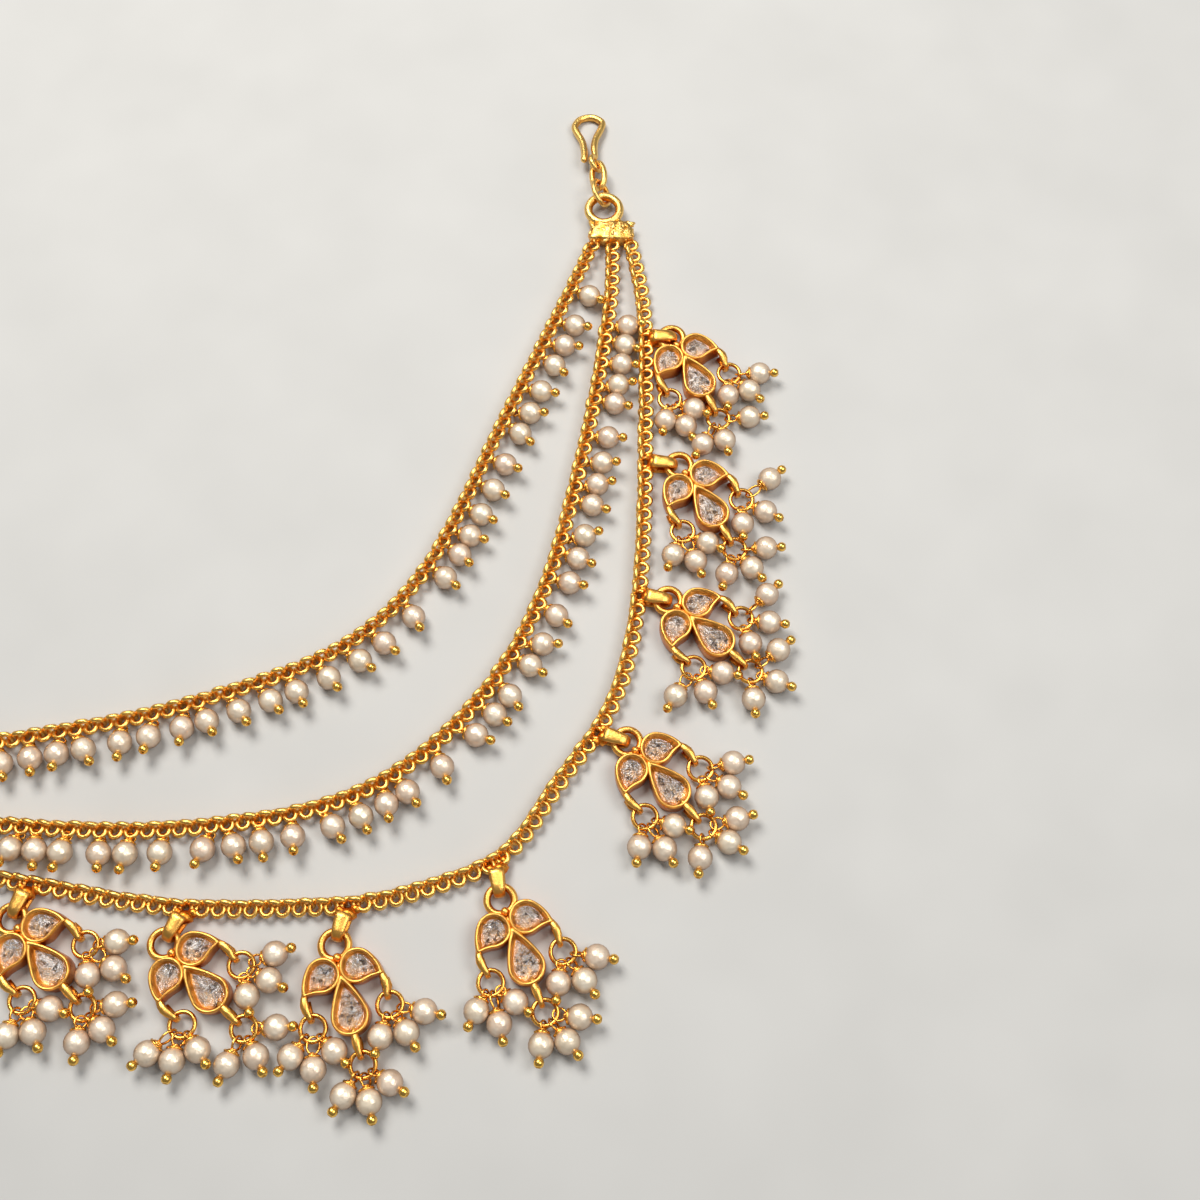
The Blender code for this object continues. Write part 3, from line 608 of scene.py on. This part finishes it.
def bail_strap():
    """Return a strap along +X: two straight legs joined by half an ellipse, with a domed back.

    It is widest where it leaves the chain and narrows towards its bend.
    """
    bend = BAIL_REACH - BAIL_STRAP / 2
    turn = np.radians(np.linspace(-90.0, 90.0, 13))
    leg = np.linspace(0.25, 0.70, 4) * bend
    path_x = np.concatenate([leg, bend * (0.75 + 0.25 * np.cos(turn)), leg[::-1]])
    path_z = BAIL_RISE * np.concatenate([np.full(4, -1.0), np.sin(turn), np.full(4, 1.0)])
    path = np.stack([path_x, 0 * path_x, path_z], axis=1)
    turn = 2 * math.pi * np.arange(12) / 12
    a = BAIL_STRAP / 2 * np.cos(turn)
    b = BAIL_WIDTH / 2 * np.sign(np.sin(turn)) * np.abs(np.sin(turn)) ** 0.8
    width = 1.1 - 0.35 * (path_x / bend) ** 2
    profile = np.stack([np.broadcast_to(a, (len(path), 12)), b * width[:, None]], axis=-1)
    # Shade is painted on the strap's inner face, inside the U.
    return carried(path, profile, up=(0.0, 1.0, 0.0), hollow=np.clip(np.cos(turn), 0, 1))


def solder_lump(length, width, height):
    """Return a ball squashed to a size and pushed about by slow waves."""
    lump = ball(0.5, 8, 12)
    x, y, z = lump.points.T
    wave = 1.0 + 0.12 * np.sin(9 * x + 2) * np.cos(8 * y) + 0.06 * np.sin(11 * z)
    lump.points = lump.points * wave[:, None] * np.array([length, width, height]) * MM
    lump.hollow = np.clip(0.45 + 0.5 * np.sin(9 * x) * np.sin(8 * y), 0.0, 1.0)
    return lump


bail_turns = basis(bail_way, np.cross(UP, bail_way), UP)
solder_turns = basis(joint_out, joint_way, -UP)
bails = bail_strap().placed(bail_turns, joint)
solder = [solder_lump(1.7, 2.2, 1.5).placed(solder_turns, joint + SOLDER_AHEAD * joint_out)]
for side in (-1, 1):
    beside = joint + SIDE_SOLDER_AHEAD * joint_out + side * RING_PITCH / 2 * joint_way
    solder.append(solder_lump(1.3, 1.3, 0.8).placed(solder_turns, beside))
make_piece("outer_chain", [
    (strand_links["outer"], chain_gold), (bails, setting_gold), (together(solder), solder_gold),
], ["chain_outer"])

# %% [markdown]
# ## Pendants
# Each pendant is a trefoil of three petals below a ring. A petal is a drop: an arc for its round
# end and one arc for each side, which bulges or hollows. The side petals bulge outwards and
# hollow inwards, like commas, so the outline is worked out from the arcs and not drawn by hand.

# %% Petal outlines
SIDE_PETAL = {
    "radius": 2.05 * MM, "length": 3.3 * MM, "bends": (5.0 * MM, -5.0 * MM), "down": 3.05 * MM,
    "apart": 2.0 * MM,
}
LOW_PETAL = {
    "radius": 2.2 * MM, "length": 4.9 * MM, "bends": (14.0 * MM, 14.0 * MM), "down": 8.25 * MM,
    "apart": 0.0,
}
SIDE_TURN = 57.0


def petal_side(radius, length, bend, steps):
    """Return the turn at which a side leaves the round end, and its points up to the tip.

    The side is an arc of radius |bend| that touches the round end, so its centre lies
    (radius - bend) from the origin along that turn.
    """
    off = radius - bend
    leaves = math.acos((length**2 + radius * (radius - 2 * bend)) / (2 * length * off))
    ray = np.array([math.cos(leaves), math.sin(leaves)])
    centre = off * ray
    start = radius * ray - centre
    end = np.array([length, 0.0]) - centre
    swept = math.atan2(start[0] * end[1] - start[1] * end[0], start @ end)
    turn = swept * np.linspace(0.0, 0.95, steps)[1:, None]
    across = np.array([-start[1], start[0]])
    return leaves, centre + np.cos(turn) * start + np.sin(turn) * across


def petal_outline(petal, bends, round_steps, side_steps):
    """Return a petal's outline round its arc's middle, with a slightly blunt tip on +X."""
    radius, length = petal["radius"], petal["length"]
    first, upper = petal_side(radius, length, bends[0], side_steps)
    last, lower = petal_side(radius, length, bends[1], side_steps)
    turn = np.linspace(first, 2 * math.pi - last, round_steps)
    arc = radius * np.stack([np.cos(turn), np.sin(turn)], axis=1)
    nose = np.array([[0.98 * length, 0.0]])
    return np.concatenate([arc, lower * [1, -1], nose, upper[::-1]])


print("points round a petal:", len(petal_outline(SIDE_PETAL, SIDE_PETAL["bends"], 23, 8)))

# %% [markdown]
# ### Bezels and stones
# A bezel is a strip of metal rubbed over the stone's edge. One profile carried round the outline
# makes its wall, its rounded rim and the seat below the stone. The stone is a stack of shrunken
# outlines whose points are nudged, so that flat shading shows facets that lie askew.

# %% Bezels and stones
WALL = np.array([
    # inset, height, painted shade (dark low on the wall and in the seat)
    (0.25, 0.00, 1.0), (0.03, 0.12, 0.9), (0.00, 0.50, 0.8), (0.00, 1.90, 0.7),
    (0.02, 2.15, 0.375), (0.09, 2.33, 0.05), (0.21, 2.40, 0.05), (0.33, 2.36, 0.05),
    (0.43, 2.22, 0.275), (0.50, 1.85, 0.5), (0.74, 1.45, 0.6),
])
STONE_INSET = 0.62 * MM
STONE_ASKEW = 0.07 * MM
STONE_TILT = 0.05 * MM
STONE_TOP = 2.17 * MM
STONE_RINGS = np.array([
    # share of the outline, height
    (1.00, 1.45), (0.82, 1.85), (0.62, 2.02), (0.40, 2.12), (0.18, 2.16),
])


def petal_wall(petal, bends):
    """Return the bezel: the outline shrunk and raised for each step of the wall's profile."""
    outline = petal_outline(petal, bends, 23, 8)
    inset, height, hollow = WALL.T
    rows = [
        np.column_stack([outline * (1.0 - step * MM / petal["radius"]),
                         np.full(len(outline), rise * MM)])
        for step, rise in zip(inset, height)
    ]
    wall = capped(rows, [0, 0, 0], [0, 0, height[-1] * MM])
    wall.hollow = np.append(np.repeat(hollow, len(outline)), [1.0, 1.0])
    return wall


def stone_dome(petal, bends, seed):
    """Return the stone: outlines shrunk to a table, each point nudged so that facets lie askew."""
    own = np.random.default_rng(seed)
    outline = petal_outline(petal, bends, 12, 4)
    shares, heights = STONE_RINGS.T
    scale = (1.0 - STONE_INSET / petal["radius"]) * shares
    nudge = (shares < 1.0)[:, None, None] * shares[:, None, None]
    points = outline[None] * scale[:, None, None]
    points = points + own.normal(0.0, STONE_ASKEW, points.shape) * nudge
    lift = own.normal(0.0, STONE_TILT, points.shape[:2]) * nudge[..., 0]
    lift = lift + heights[:, None] * MM
    rows = list(np.concatenate([points, lift[..., None]], axis=-1))
    return capped(rows, [0, 0, 1.2 * MM], [0.05 * MM, 0, STONE_TOP])


# %% [markdown]
# ### Stub loops and the whole trefoil
# A short thick wire leaves each petal's tip, bends down and comes back, and holds a jump ring. It
# is one path with a flat oval section. Small grains of solder fill the corners between petals.

# %% Stub loops and trefoil
STUB_REACH = 3.1 * MM
STUB_ROOT = 0.35 * MM
CROWN_RING = 4.1 * MM
CROWN_WIRE = 0.9 * MM
STUB_BULGE = 0.22 * MM
STUB_HALF = np.array([0.27, 0.46]) * MM
STUB_OUT = np.array([(-0.6, 1.75), (-0.1, 1.95), (0.5, 2.05), (1.1, 2.05), (1.7, 1.98)]) * MM
STUB_BACK = np.array([(1.4, 0.3), (0.5, 0.3)]) * MM
JOINT_GRAIN = 0.55 * MM
JOINT_GRAINS = np.array([(1.5, 0, 1.5), (2.6, 0, 1.5), (4.3, 0.75, 1.5), (4.3, -0.75, 1.5)]) * MM


def stub_roots():
    """Return where each stub loop starts, with the pendant's axis along +X."""
    turn = math.radians(SIDE_TURN)
    reach = SIDE_PETAL["length"] - STUB_ROOT
    down = SIDE_PETAL["down"] + reach * math.cos(turn)
    apart = SIDE_PETAL["apart"] + reach * math.sin(turn)
    low = LOW_PETAL["down"] + LOW_PETAL["radius"] - STUB_ROOT
    return {"right": (down, apart), "left": (down, -apart), "lower": (low, 0.0)}


def stub_loop(aside):
    """Return a stub loop along +X: a thick wire that runs out, bends down and comes back.

    It leaves the petal's tip inside the wall, bulges aside by a half wave, and is thickest there.
    """
    turn = np.radians(np.linspace(90.0, -90.0, 11))
    bend = STUB_REACH - 0.75 * MM
    round_end = np.stack([bend + 0.55 * MM * np.cos(turn), (1.1 + 0.8 * np.sin(turn)) * MM], axis=1)
    path_x, path_z = np.concatenate([STUB_OUT, round_end, STUB_BACK]).T
    wave = np.sin(math.pi * np.clip(path_x / bend, 0.0, 1.0))
    path = np.stack([path_x, aside * wave, path_z], axis=1)
    thick = 0.75 + 0.4 * wave
    thick[0] = 0.4
    section = round_section(1.0, 10) * STUB_HALF * thick[:, None, None]
    return carried(path, section, up=(0.0, 1.0, 0.0), hollow=inner_side(10))


def in_plane(degrees):
    """Return a turn about Z."""
    c, s = math.cos(math.radians(degrees)), math.sin(math.radians(degrees))
    return np.array([[c, -s, 0], [s, c, 0], [0, 0, 1]])


def pendant_parts(seed):
    """Return one pendant's metal and its stones, with its axis along +X."""
    middle = (CROWN_RING - CROWN_WIRE) / 2
    ring = oval_ring(middle, middle, CROWN_WIRE, 28, 10)
    metal = [ring.placed(np.eye(3), [0, 0, CHAIN_WIDTH / 2])]
    stones = []
    for petal, sign, turn in (
        (SIDE_PETAL, 1, SIDE_TURN), (SIDE_PETAL, -1, -SIDE_TURN), (LOW_PETAL, 1, 180.0),
    ):
        bends = petal["bends"][::sign]
        place = [petal["down"], sign * petal["apart"], 0.0]
        metal.append(petal_wall(petal, bends).placed(in_plane(turn), place))
        stone = stone_dome(petal, bends, seed + len(stones))
        stones.append(stone.placed(in_plane(turn), place))
    for x, y in stub_roots().values():
        metal.append(stub_loop(STUB_BULGE * np.sign(y)).placed(np.eye(3), [x, y, 0.0]))
    for place in JOINT_GRAINS:
        metal.append(ball(JOINT_GRAIN, 8, 12).placed(np.eye(3), place))
    return together(metal), together(stones)


axis_turns = [in_plane(turn) for turn in axis_turn]
for number, (turn, middle) in enumerate(zip(axis_turns, crown), start=1):
    metal, stones = pendant_parts(20 * number)
    make_piece(f"trefoil_{number}", [
        (metal.placed(turn, middle), setting_gold), (stones.placed(turn, middle), crackled_stone),
    ], [f"pendant_{number}"], flat=(crackled_stone,))

# %% [markdown]
# ## Pearl drops
# A drop is a pearl on a headpin: a bright ball at its foot, a few turns of wire at its neck and
# a loop that holds it. The same drop hangs in clusters under the pendants and in rows on the
# strands. It is made once, with its pearl at the origin and its loop towards +X.

# %% One drop
PEARL = 3.0 * MM
FINE_WIRE = 0.31 * MM
PIN_BALL = 0.62 * MM
PIN_BELOW = 0.48 * MM
PIT_WIDTH = 0.18 * MM
NECK_NARROW = 0.30 * MM
NECK_WIDE = 0.94 * MM
NECK_SEAT = 0.22 * MM
NECK_LENGTH = 0.45 * MM
LOOP_SINK = 0.1 * MM
LOOP_LEAST = 0.45 * MM
LOOP_WIDTH = (0.55 * MM, 0.72 * MM)


def pearl_ball():
    """Return a pearl, a sphere with its poles on X."""
    pearl = ball(PEARL / 2, 10, 16)
    pearl.points = pearl.points[:, [2, 0, 1]]
    return pearl


def pin_ball():
    """Return the headpin's ball with the small pit at its end."""
    turn = np.radians(np.linspace(0.0, 150.0, 8))
    side = PIN_BALL * np.stack([np.sin(turn), -np.cos(turn)], axis=1)
    pit = np.array([[PIT_WIDTH, 0.36 * MM], [0.0, 0.26 * MM]])
    pin = lathe(np.concatenate([side, pit]), 10)
    across = np.hypot(pin.points[:, 0], pin.points[:, 1])
    # Shade is painted in the pit.
    pin.hollow = ((pin.points[:, 2] > 0.0) & (across < 1.2 * PIT_WIDTH)).astype(float)
    pin.points = pin.points[:, [2, 0, 1]] * [-1, 1, -1]
    pin.points[:, 0] -= PEARL / 2 + PIN_BELOW
    return pin


def neck_coil(start, length, turns=2.4):
    """Return the wound neck: a helix about X, wide on the pearl like a cap, then narrow."""
    steps = int(turns * 12)
    turn = np.linspace(0.0, 2 * math.pi * turns, steps)
    share = turn / turn[-1]
    radius = NECK_NARROW + (NECK_WIDE - NECK_NARROW) * (1 - share) ** 1.4
    path = np.stack([start + length * share, radius * np.cos(turn), radius * np.sin(turn)], axis=1)
    return carried(path, round_section(FINE_WIRE / 2, 5), up=(1.0, 0.0, 0.0))


def drop_parts(reach):
    """Return a drop whose loop ends at a reach from the pearl's middle: pearl, wire and pin."""
    neck_start = PEARL / 2 - NECK_SEAT
    loop_start = neck_start + NECK_LENGTH - LOOP_SINK
    half = max(LOOP_LEAST, (reach - loop_start) / 2)
    loop = oval_ring(half, float(np.clip(half, *LOOP_WIDTH)), FINE_WIRE, 14, 5)
    tilt = np.array([[1, 0, 0], [0, 0.8, -0.6], [0, 0.6, 0.8]])
    loop = loop.placed(tilt, [loop_start + half, 0, 0])
    return pearl_ball(), together([loop, neck_coil(neck_start, NECK_LENGTH)]), pin_ball()


print("points of a drop:", sum(len(shape.points) for shape in drop_parts(PEARL)))

# %% [markdown]
# ### Clusters
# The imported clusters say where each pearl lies: the point of a cluster's mesh that is farthest
# from its jump ring is the outer pole of a pearl. So the drops need no list of their own here.

# %% Clusters under the pendants
JUMP_WIRE = 0.55 * MM
JUMP_RADIUS = 1.45 * MM
JUMP_HEIGHT = 1.05 * MM
JUMP_FROM_ROOT = STUB_REACH - 0.95 * MM


def pearl_places(node, ring_middle):
    """Return the pearls' middles: the three farthest points of the mesh, half a pearl apart."""
    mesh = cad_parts[node].data
    points = np.zeros(len(mesh.vertices) * 3)
    mesh.vertices.foreach_get("co", points)
    points = points.reshape(-1, 3)[:, :2]
    off = points - ring_middle[:2]
    distance = np.linalg.norm(off, axis=1)
    way = off / np.maximum(distance, 1e-9)[:, None]
    found = []
    free = distance > JUMP_RADIUS + PEARL / 2
    while len(found) < 3 and free.any():
        best = np.argmax(np.where(free, distance, 0.0))
        found.append(ring_middle[:2] + way[best] * (distance[best] - PEARL / 2))
        free &= np.linalg.norm(points - found[-1], axis=1) > 0.52 * PEARL
    return np.column_stack([found, np.full(len(found), PEARL / 2)])


def cluster(number, petal, root):
    """Return the jump ring and three drops of one cluster, in their finishes."""
    turn, middle = axis_turns[number - 1], crown[number - 1]
    down = root[0] + JUMP_FROM_ROOT + JUMP_RADIUS
    centre = middle + turn @ np.array([down, root[1], JUMP_HEIGHT])
    tilt = np.radians(rng.normal(0.0, 4.0, 2))
    x_axis = unit(np.array([math.cos(tilt[0]), 0.0, math.sin(tilt[0]) * 0.4]))
    y_axis = unit(np.array([0.0, math.cos(tilt[1]), math.sin(tilt[1]) * 0.4]))
    y_axis = unit(y_axis - x_axis * (x_axis @ y_axis))
    ring = oval_ring(JUMP_RADIUS, JUMP_RADIUS, JUMP_WIRE, 24, 8)
    ring = ring.placed(basis(x_axis, y_axis, np.cross(x_axis, y_axis)), centre)
    parts = [(ring, wire_gold)]
    for place in pearl_places(f"pearls_{number}_{petal}", centre):
        toward = unit((centre - place) * [1, 1, 0])
        hold = centre - JUMP_RADIUS * toward
        aim = unit(hold - place)
        side = unit(np.cross(UP, aim))
        roll = rng.uniform(-0.6, 0.6)
        top = np.cross(aim, side)
        c, s = math.cos(roll), math.sin(roll)
        side, top = c * side + s * top, c * top - s * side
        reach = np.linalg.norm(hold - place) + JUMP_WIRE / 2 + FINE_WIRE
        pearl, wire, pin = drop_parts(reach)
        pose = basis(aim, side, top)
        parts += [
            (pearl.placed(pose, place, rng.uniform(0.0, 1.0, 1)), pearl_lustre),
            (wire.placed(pose, place), wire_gold), (pin.placed(pose, place), pin_gold),
        ]
    return parts


for number in range(1, len(PENDANTS) + 1):
    for petal, root in stub_roots().items():
        node = f"pearls_{number}_{petal}"
        make_piece(f"drops_{number}_{petal}", cluster(number, petal, root), [node])

# %% [markdown]
# ### Rows on the strands
# The small pearls hang from the rings of the inner and middle strand. The rings that carry one
# were counted on the photograph, and beyond its edge they go on at the same spacing. Each pearl
# leans a little along the strand.

# %% Rows of pearls
PEARL_RINGS = {
    "inner": [
        4.2, 6.9, 8.7, 10.5, 12.8, 14.7, 16.5, 19.1, 21.2, 23.2, 24.9, 26.4, 28.2, 31.4, 33.8,
        35.6, 37.7, 39.8, 41.5, 43.6, 45.7, 47.3, 49.4, 51.2, 53.5, 55.2, 56.9, 58.8, 60.8, 62.7,
        64.6,
    ],
    "middle": [
        6.8, 8.4, 10.0, 11.7, 13.2, 15.9, 17.9, 19.6, 21.2, 23.5, 25.2, 27.0, 29.4, 31.5, 33.1,
        35.4, 36.9, 38.6, 41.4, 43.9, 45.3, 46.9, 48.6, 51.0, 52.9, 54.6, 56.5, 59.1, 61.2, 62.8,
        65.2, 66.8, 68.4, 70.4, 72.3, 74.2,
    ],
}
ROW_ASIDE = 2.9 * MM
ROW_REACH = 2.6 * MM
HOLD_ASIDE = 0.75 * MM
HOLD_PLAY = 0.6 * MM


def pearl_row(route, rings):
    """Return the drops of a strand: each pearl beside its place, its loop in the nearest ring."""
    rings = np.array(rings)
    place, _, out = route.at(rings * RING_PITCH)
    place = place + ROW_ASIDE * out
    place[:, 2] = PEARL / 2
    held, _, held_out = route.at(np.round(rings) * RING_PITCH)
    held = held + HOLD_ASIDE * held_out
    held[:, 2] -= rng.uniform(0.0, HOLD_PLAY, len(rings))
    aim = unit(held - place)
    side = unit(np.cross(UP, aim))
    pose = basis(aim, side, np.cross(aim, side))
    pearl, wire, pin = drop_parts(ROW_REACH)
    count = len(rings)
    return [
        (pearl.placed(pose, place, rng.uniform(0.0, 1.0, count)), pearl_lustre),
        (wire.placed(pose, place), wire_gold), (pin.placed(pose, place), pin_gold),
    ]


for name, rings in PEARL_RINGS.items():
    make_piece(f"{name}_pearls", pearl_row(routes[name], rings), [f"pearl_row_{name}"])

# %% [markdown]
# ## The ends
# A cast plate joins the three strands. It is rough, as if small grains had run together, so it
# is a pillow form pushed out by waves, with short ridges sunk into its top.

# %% End plates
ENDS = {
    "right": {"plate_turn": 90.0, "hook_turn": 98.0, "ring_aside": 1.0 * MM},
    "left": {"plate_turn": 180.0, "hook_turn": 183.0, "ring_aside": -1.0 * MM},
}
PLATE = np.array([3.6, 7.0, 2.4]) * MM
END_HEIGHT = 1.65 * MM


def cast_plate():
    """Return the plate: a ball pushed half way to a box, p + p / max|p|, with low waves.

    It narrows towards its ring.
    """
    form = ball(1.0, 26, 40)
    p = form.points
    box = 0.55 * p / np.abs(p).max(axis=1, keepdims=True) + 0.45 * p
    x, y = box[:, 0], box[:, 1]
    lumps = np.sin(7 * x + 1) * np.sin(11 * y) + np.sin(13 * y + 2 * x)
    swell = 0.94 + 0.03 * lumps
    box[:, 1] *= 0.96 - 0.14 * box[:, 0]
    form.points = box * PLATE / 2 * swell[:, None]
    # Shade is painted into the dips between the waves, lighter on their crests.
    form.hollow = np.clip(0.45 - 0.35 * lumps, 0.0, 1.0)
    form.points[:, 2] += PLATE[2] / 2
    return form


def grains(count):
    """Return small sunk ridges scattered over the plate's top, each turned its own way."""
    x, y = rng.uniform(-0.42, 0.42, (2, count)) * PLATE[:2, None]
    z = PLATE[2] * (0.91 - 0.9 * ((x / PLATE[0]) ** 2 + (y / PLATE[1]) ** 2))
    size = np.stack([
        rng.uniform(0.4, 0.9, count), rng.uniform(0.2, 0.35, count), rng.uniform(0.2, 0.35, count),
    ], axis=-1) * MM
    way = turned(rng.uniform(0.0, 180.0, count))
    turns = basis(way, np.cross(UP, way), UP) * size[:, None]
    return ball(1.0, 5, 8).placed(turns, np.column_stack([x, y, z]))


# %% [markdown]
# ### Ring, links and hook
# A ring is soldered to the plate's edge, and two oval links carry the hook, a single bent wire.
# Its path is a smooth curve through a few points: a curled eye, then a teardrop that stays open.

# %% Ring, links and hook
PLATE_GAP = 0.3 * MM
RING_SOLDER = 1.0 * MM
RING_WIRE = 1.2 * MM
RING_OUTER = 5.6 * MM
LINK_GAP = 0.25 * MM
NEAR_LINK = {"half_length": 1.9 * MM, "half_width": 1.6 * MM, "wire": 0.75 * MM, "roll": 50.0}
FAR_LINK = {"half_length": 2.15 * MM, "half_width": 1.08 * MM, "wire": 0.85 * MM, "roll": -40.0}
HOOK_WIRE = 1.0 * MM
EYE_WIRE = 0.8 * MM
EYE_TURN = 320.0
HOOK_LENGTH = 8.0 * MM
HOOK_WIDTH = 4.0 * MM
HOOK_OUTLINE = [
    (0.00, 0.00), (0.22, 0.05), (0.45, 0.30), (0.65, 0.75), (0.82, 0.98), (0.94, 0.65),
    (0.985, 0.34), (1.00, 0.00), (0.985, -0.36), (0.94, -0.70), (0.80, -1.05), (0.64, -0.95),
    (0.44, -0.72), (0.27, -0.68), (0.10, -0.72), (-0.08, -0.85),
]


def rolled(degrees):
    """Return a turn about X: one about Z with its axes moved on by one."""
    return np.roll(in_plane(degrees), 1, axis=(0, 1))


def smooth(points, steps):
    """Return a Catmull-Rom curve: each span is a cubic of its two points and their neighbours."""
    around = np.concatenate([[2 * points[0] - points[1]], points, [2 * points[-1] - points[-2]]])
    a, b, c, d = (around[k:len(around) - 3 + k, None] for k in range(4))
    t = np.arange(steps)[:, None] / steps
    curve = b + (c - a) * t / 2 + (2 * a - 5 * b + 4 * c - d) * t**2 / 2
    curve = curve + (3 * b - a - 3 * c + d) * t**3 / 2
    return np.concatenate([curve.reshape(-1, points.shape[1]), points[-1:]])


def s_hook(eye):
    """Return the hook's wire: a curled eye round a place on X, then a teardrop that stays open."""
    radius = (FAR_LINK["wire"] + EYE_WIRE) / 2 + LINK_GAP
    turn = np.radians(EYE_TURN) * np.arange(8, 0, -1) / 8
    curl = np.stack([radius * np.cos(turn), radius * np.sin(turn), 0 * turn], axis=1)
    curl = curl @ rolled(NEAR_LINK["roll"]).T + [eye, 0.0, 0.0]
    share, width = np.array(HOOK_OUTLINE).T
    fall = (END_HEIGHT - HOOK_WIRE / 2) * np.maximum(share, 0.0)
    drop = np.stack([eye + radius + share * HOOK_LENGTH, -width * HOOK_WIDTH / 2, -fall], axis=1)
    thick = np.append(np.full(9, EYE_WIRE / 2), np.full(len(drop) - 1, HOOK_WIRE / 2))
    path = smooth(np.column_stack([np.concatenate([curl, drop]), thick]), 5)
    gone = np.append(0.0, np.cumsum(np.linalg.norm(np.diff(path[:, :3], axis=0), axis=1)))
    tip = np.minimum(np.minimum(gone, gone[-1] - gone) / (HOOK_WIRE / 2), 1.0)
    rounding = np.sqrt(np.maximum(1.0 - (1.0 - tip) ** 2, 0.1))
    section = round_section(1.0, 12) * (path[:, 3] * rounding)[:, None, None]
    # A light painted shade lies on the inner side of each bend.
    return carried(path[:, :3], section, hollow=0.4 * inner_side(12))


for name, row in ENDS.items():
    last = 0 if name == "right" else -1
    meets = np.mean([route.curve[last] for route in routes.values()], axis=0)
    away = turned(row["plate_turn"])
    edge = np.append(meets, 0.0) + PLATE_GAP * away
    cast = together([cast_plate(), grains(60)])
    plate = cast.placed(in_plane(row["plate_turn"]), edge + PLATE[0] / 2 * away)
    centre = edge + (PLATE[0] + RING_OUTER / 2 - RING_SOLDER) * away
    centre += row["ring_aside"] * turned(row["plate_turn"] + 90.0)
    centre[2] = END_HEIGHT
    ring_middle = (RING_OUTER - RING_WIRE) / 2
    ring = oval_ring(ring_middle, ring_middle, RING_WIRE, 36, 12).placed(np.eye(3), centre)
    end = together([plate, ring])
    make_piece(f"cast_end_{name}", [(end, cast_gold)], [f"end_plate_{name}"])
    hangs = in_plane(row["hook_turn"])
    start = RING_OUTER / 2 - RING_WIRE - LINK_GAP - NEAR_LINK["wire"] / 2
    for title, link in (("near", NEAR_LINK), ("far", FAR_LINK)):
        oval = oval_ring(link["half_length"], link["half_width"], link["wire"], 24, 10)
        middle = hangs @ [start + link["half_length"], 0, 0] + centre
        oval = oval.placed(hangs @ rolled(link["roll"]), middle)
        make_piece(f"{title}_oval_{name}", [(oval, cast_gold)], [f"{title}_link_{name}"])
        eye = start + 2 * link["half_length"]
        start = eye - (NEAR_LINK["wire"] + FAR_LINK["wire"]) / 2 - LINK_GAP
    hook = s_hook(eye).placed(hangs, centre)
    make_piece(f"s_hook_{name}", [(hook, cast_gold)], [f"hook_{name}"])

# %% [markdown]
# ## Light, floor and camera
# The camera looks down at the angle of the photograph. The floor is plain and pale. A warm soft
# lamp behind the left end is the key, and a weaker one on the right opens the shadows. Large area
# lamps give the pearls soft highlights.

# %% Floor, lamps and camera
floor_finish = Finish("floor", Roughness=0.85)
floor_tone = floor_finish.spread(floor_finish.noise(60.0, 2.0), 0.3, 0.7)
floor_colour = floor_finish.mix(floor_tone, (0.53, 0.53, 0.52), (0.56, 0.56, 0.55))
floor_mesh = bpy.data.meshes.new("floor")
FLOOR_HALF = 1.5
corners = [(x * FLOOR_HALF, y * FLOOR_HALF, 0) for x, y in ((-1, -1), (1, -1), (1, 1), (-1, 1))]
floor_mesh.from_pydata(corners, [], [(0, 1, 2, 3)])
floor_mesh.materials.append(floor_finish.feed(Base_Color=floor_colour))
floor = bpy.data.objects.new("floor", floor_mesh)
bpy.context.scene.collection.objects.link(floor)


def lamp(name, place, size, power, colour):
    """Add a square soft lamp that looks at the middle of the view."""
    light = bpy.data.lights.new(name, "AREA")
    light.shape = "SQUARE"
    light.size = size
    light.energy = power
    light.color = colour
    holder = bpy.data.objects.new(name, light)
    holder.location = place
    holder.rotation_euler = (look_at - Vector(place)).to_track_quat("-Z", "Y").to_euler()
    bpy.context.scene.collection.objects.link(holder)


world = bpy.context.scene.world or bpy.data.worlds.new("world")
bpy.context.scene.world = world
world.use_nodes = True
sky = world.node_tree.nodes["Background"].inputs
sky["Color"].default_value = (0.93, 0.94, 0.96, 1.0)
sky["Strength"].default_value = 0.20
bpy.context.scene.view_settings.view_transform = "Standard"
look_at = Vector((*(-LAYOUT_MIDDLE * MM), 0.0))
lamp("key", (-0.10, 0.22, 0.42), 0.24, 2.4, (1.0, 0.97, 0.92))
lamp("fill", (0.28, -0.02, 0.38), 0.24, 0.95, (1.0, 0.98, 0.95))

CAMERA_AWAY = 178.0 * MM
CAMERA_TILT = math.radians(21.0)
camera_data = bpy.data.cameras.new("camera")
camera_data.lens = 42.0
camera_data.clip_start = 0.01
camera = bpy.data.objects.new("camera", camera_data)
toward_camera = Vector((0.0, -math.sin(CAMERA_TILT), math.cos(CAMERA_TILT)))
camera.location = look_at + CAMERA_AWAY * toward_camera
camera.rotation_euler = (look_at - camera.location).to_track_quat("-Z", "Y").to_euler()
bpy.context.scene.collection.objects.link(camera)
bpy.context.scene.camera = camera
print("camera at", camera.location)
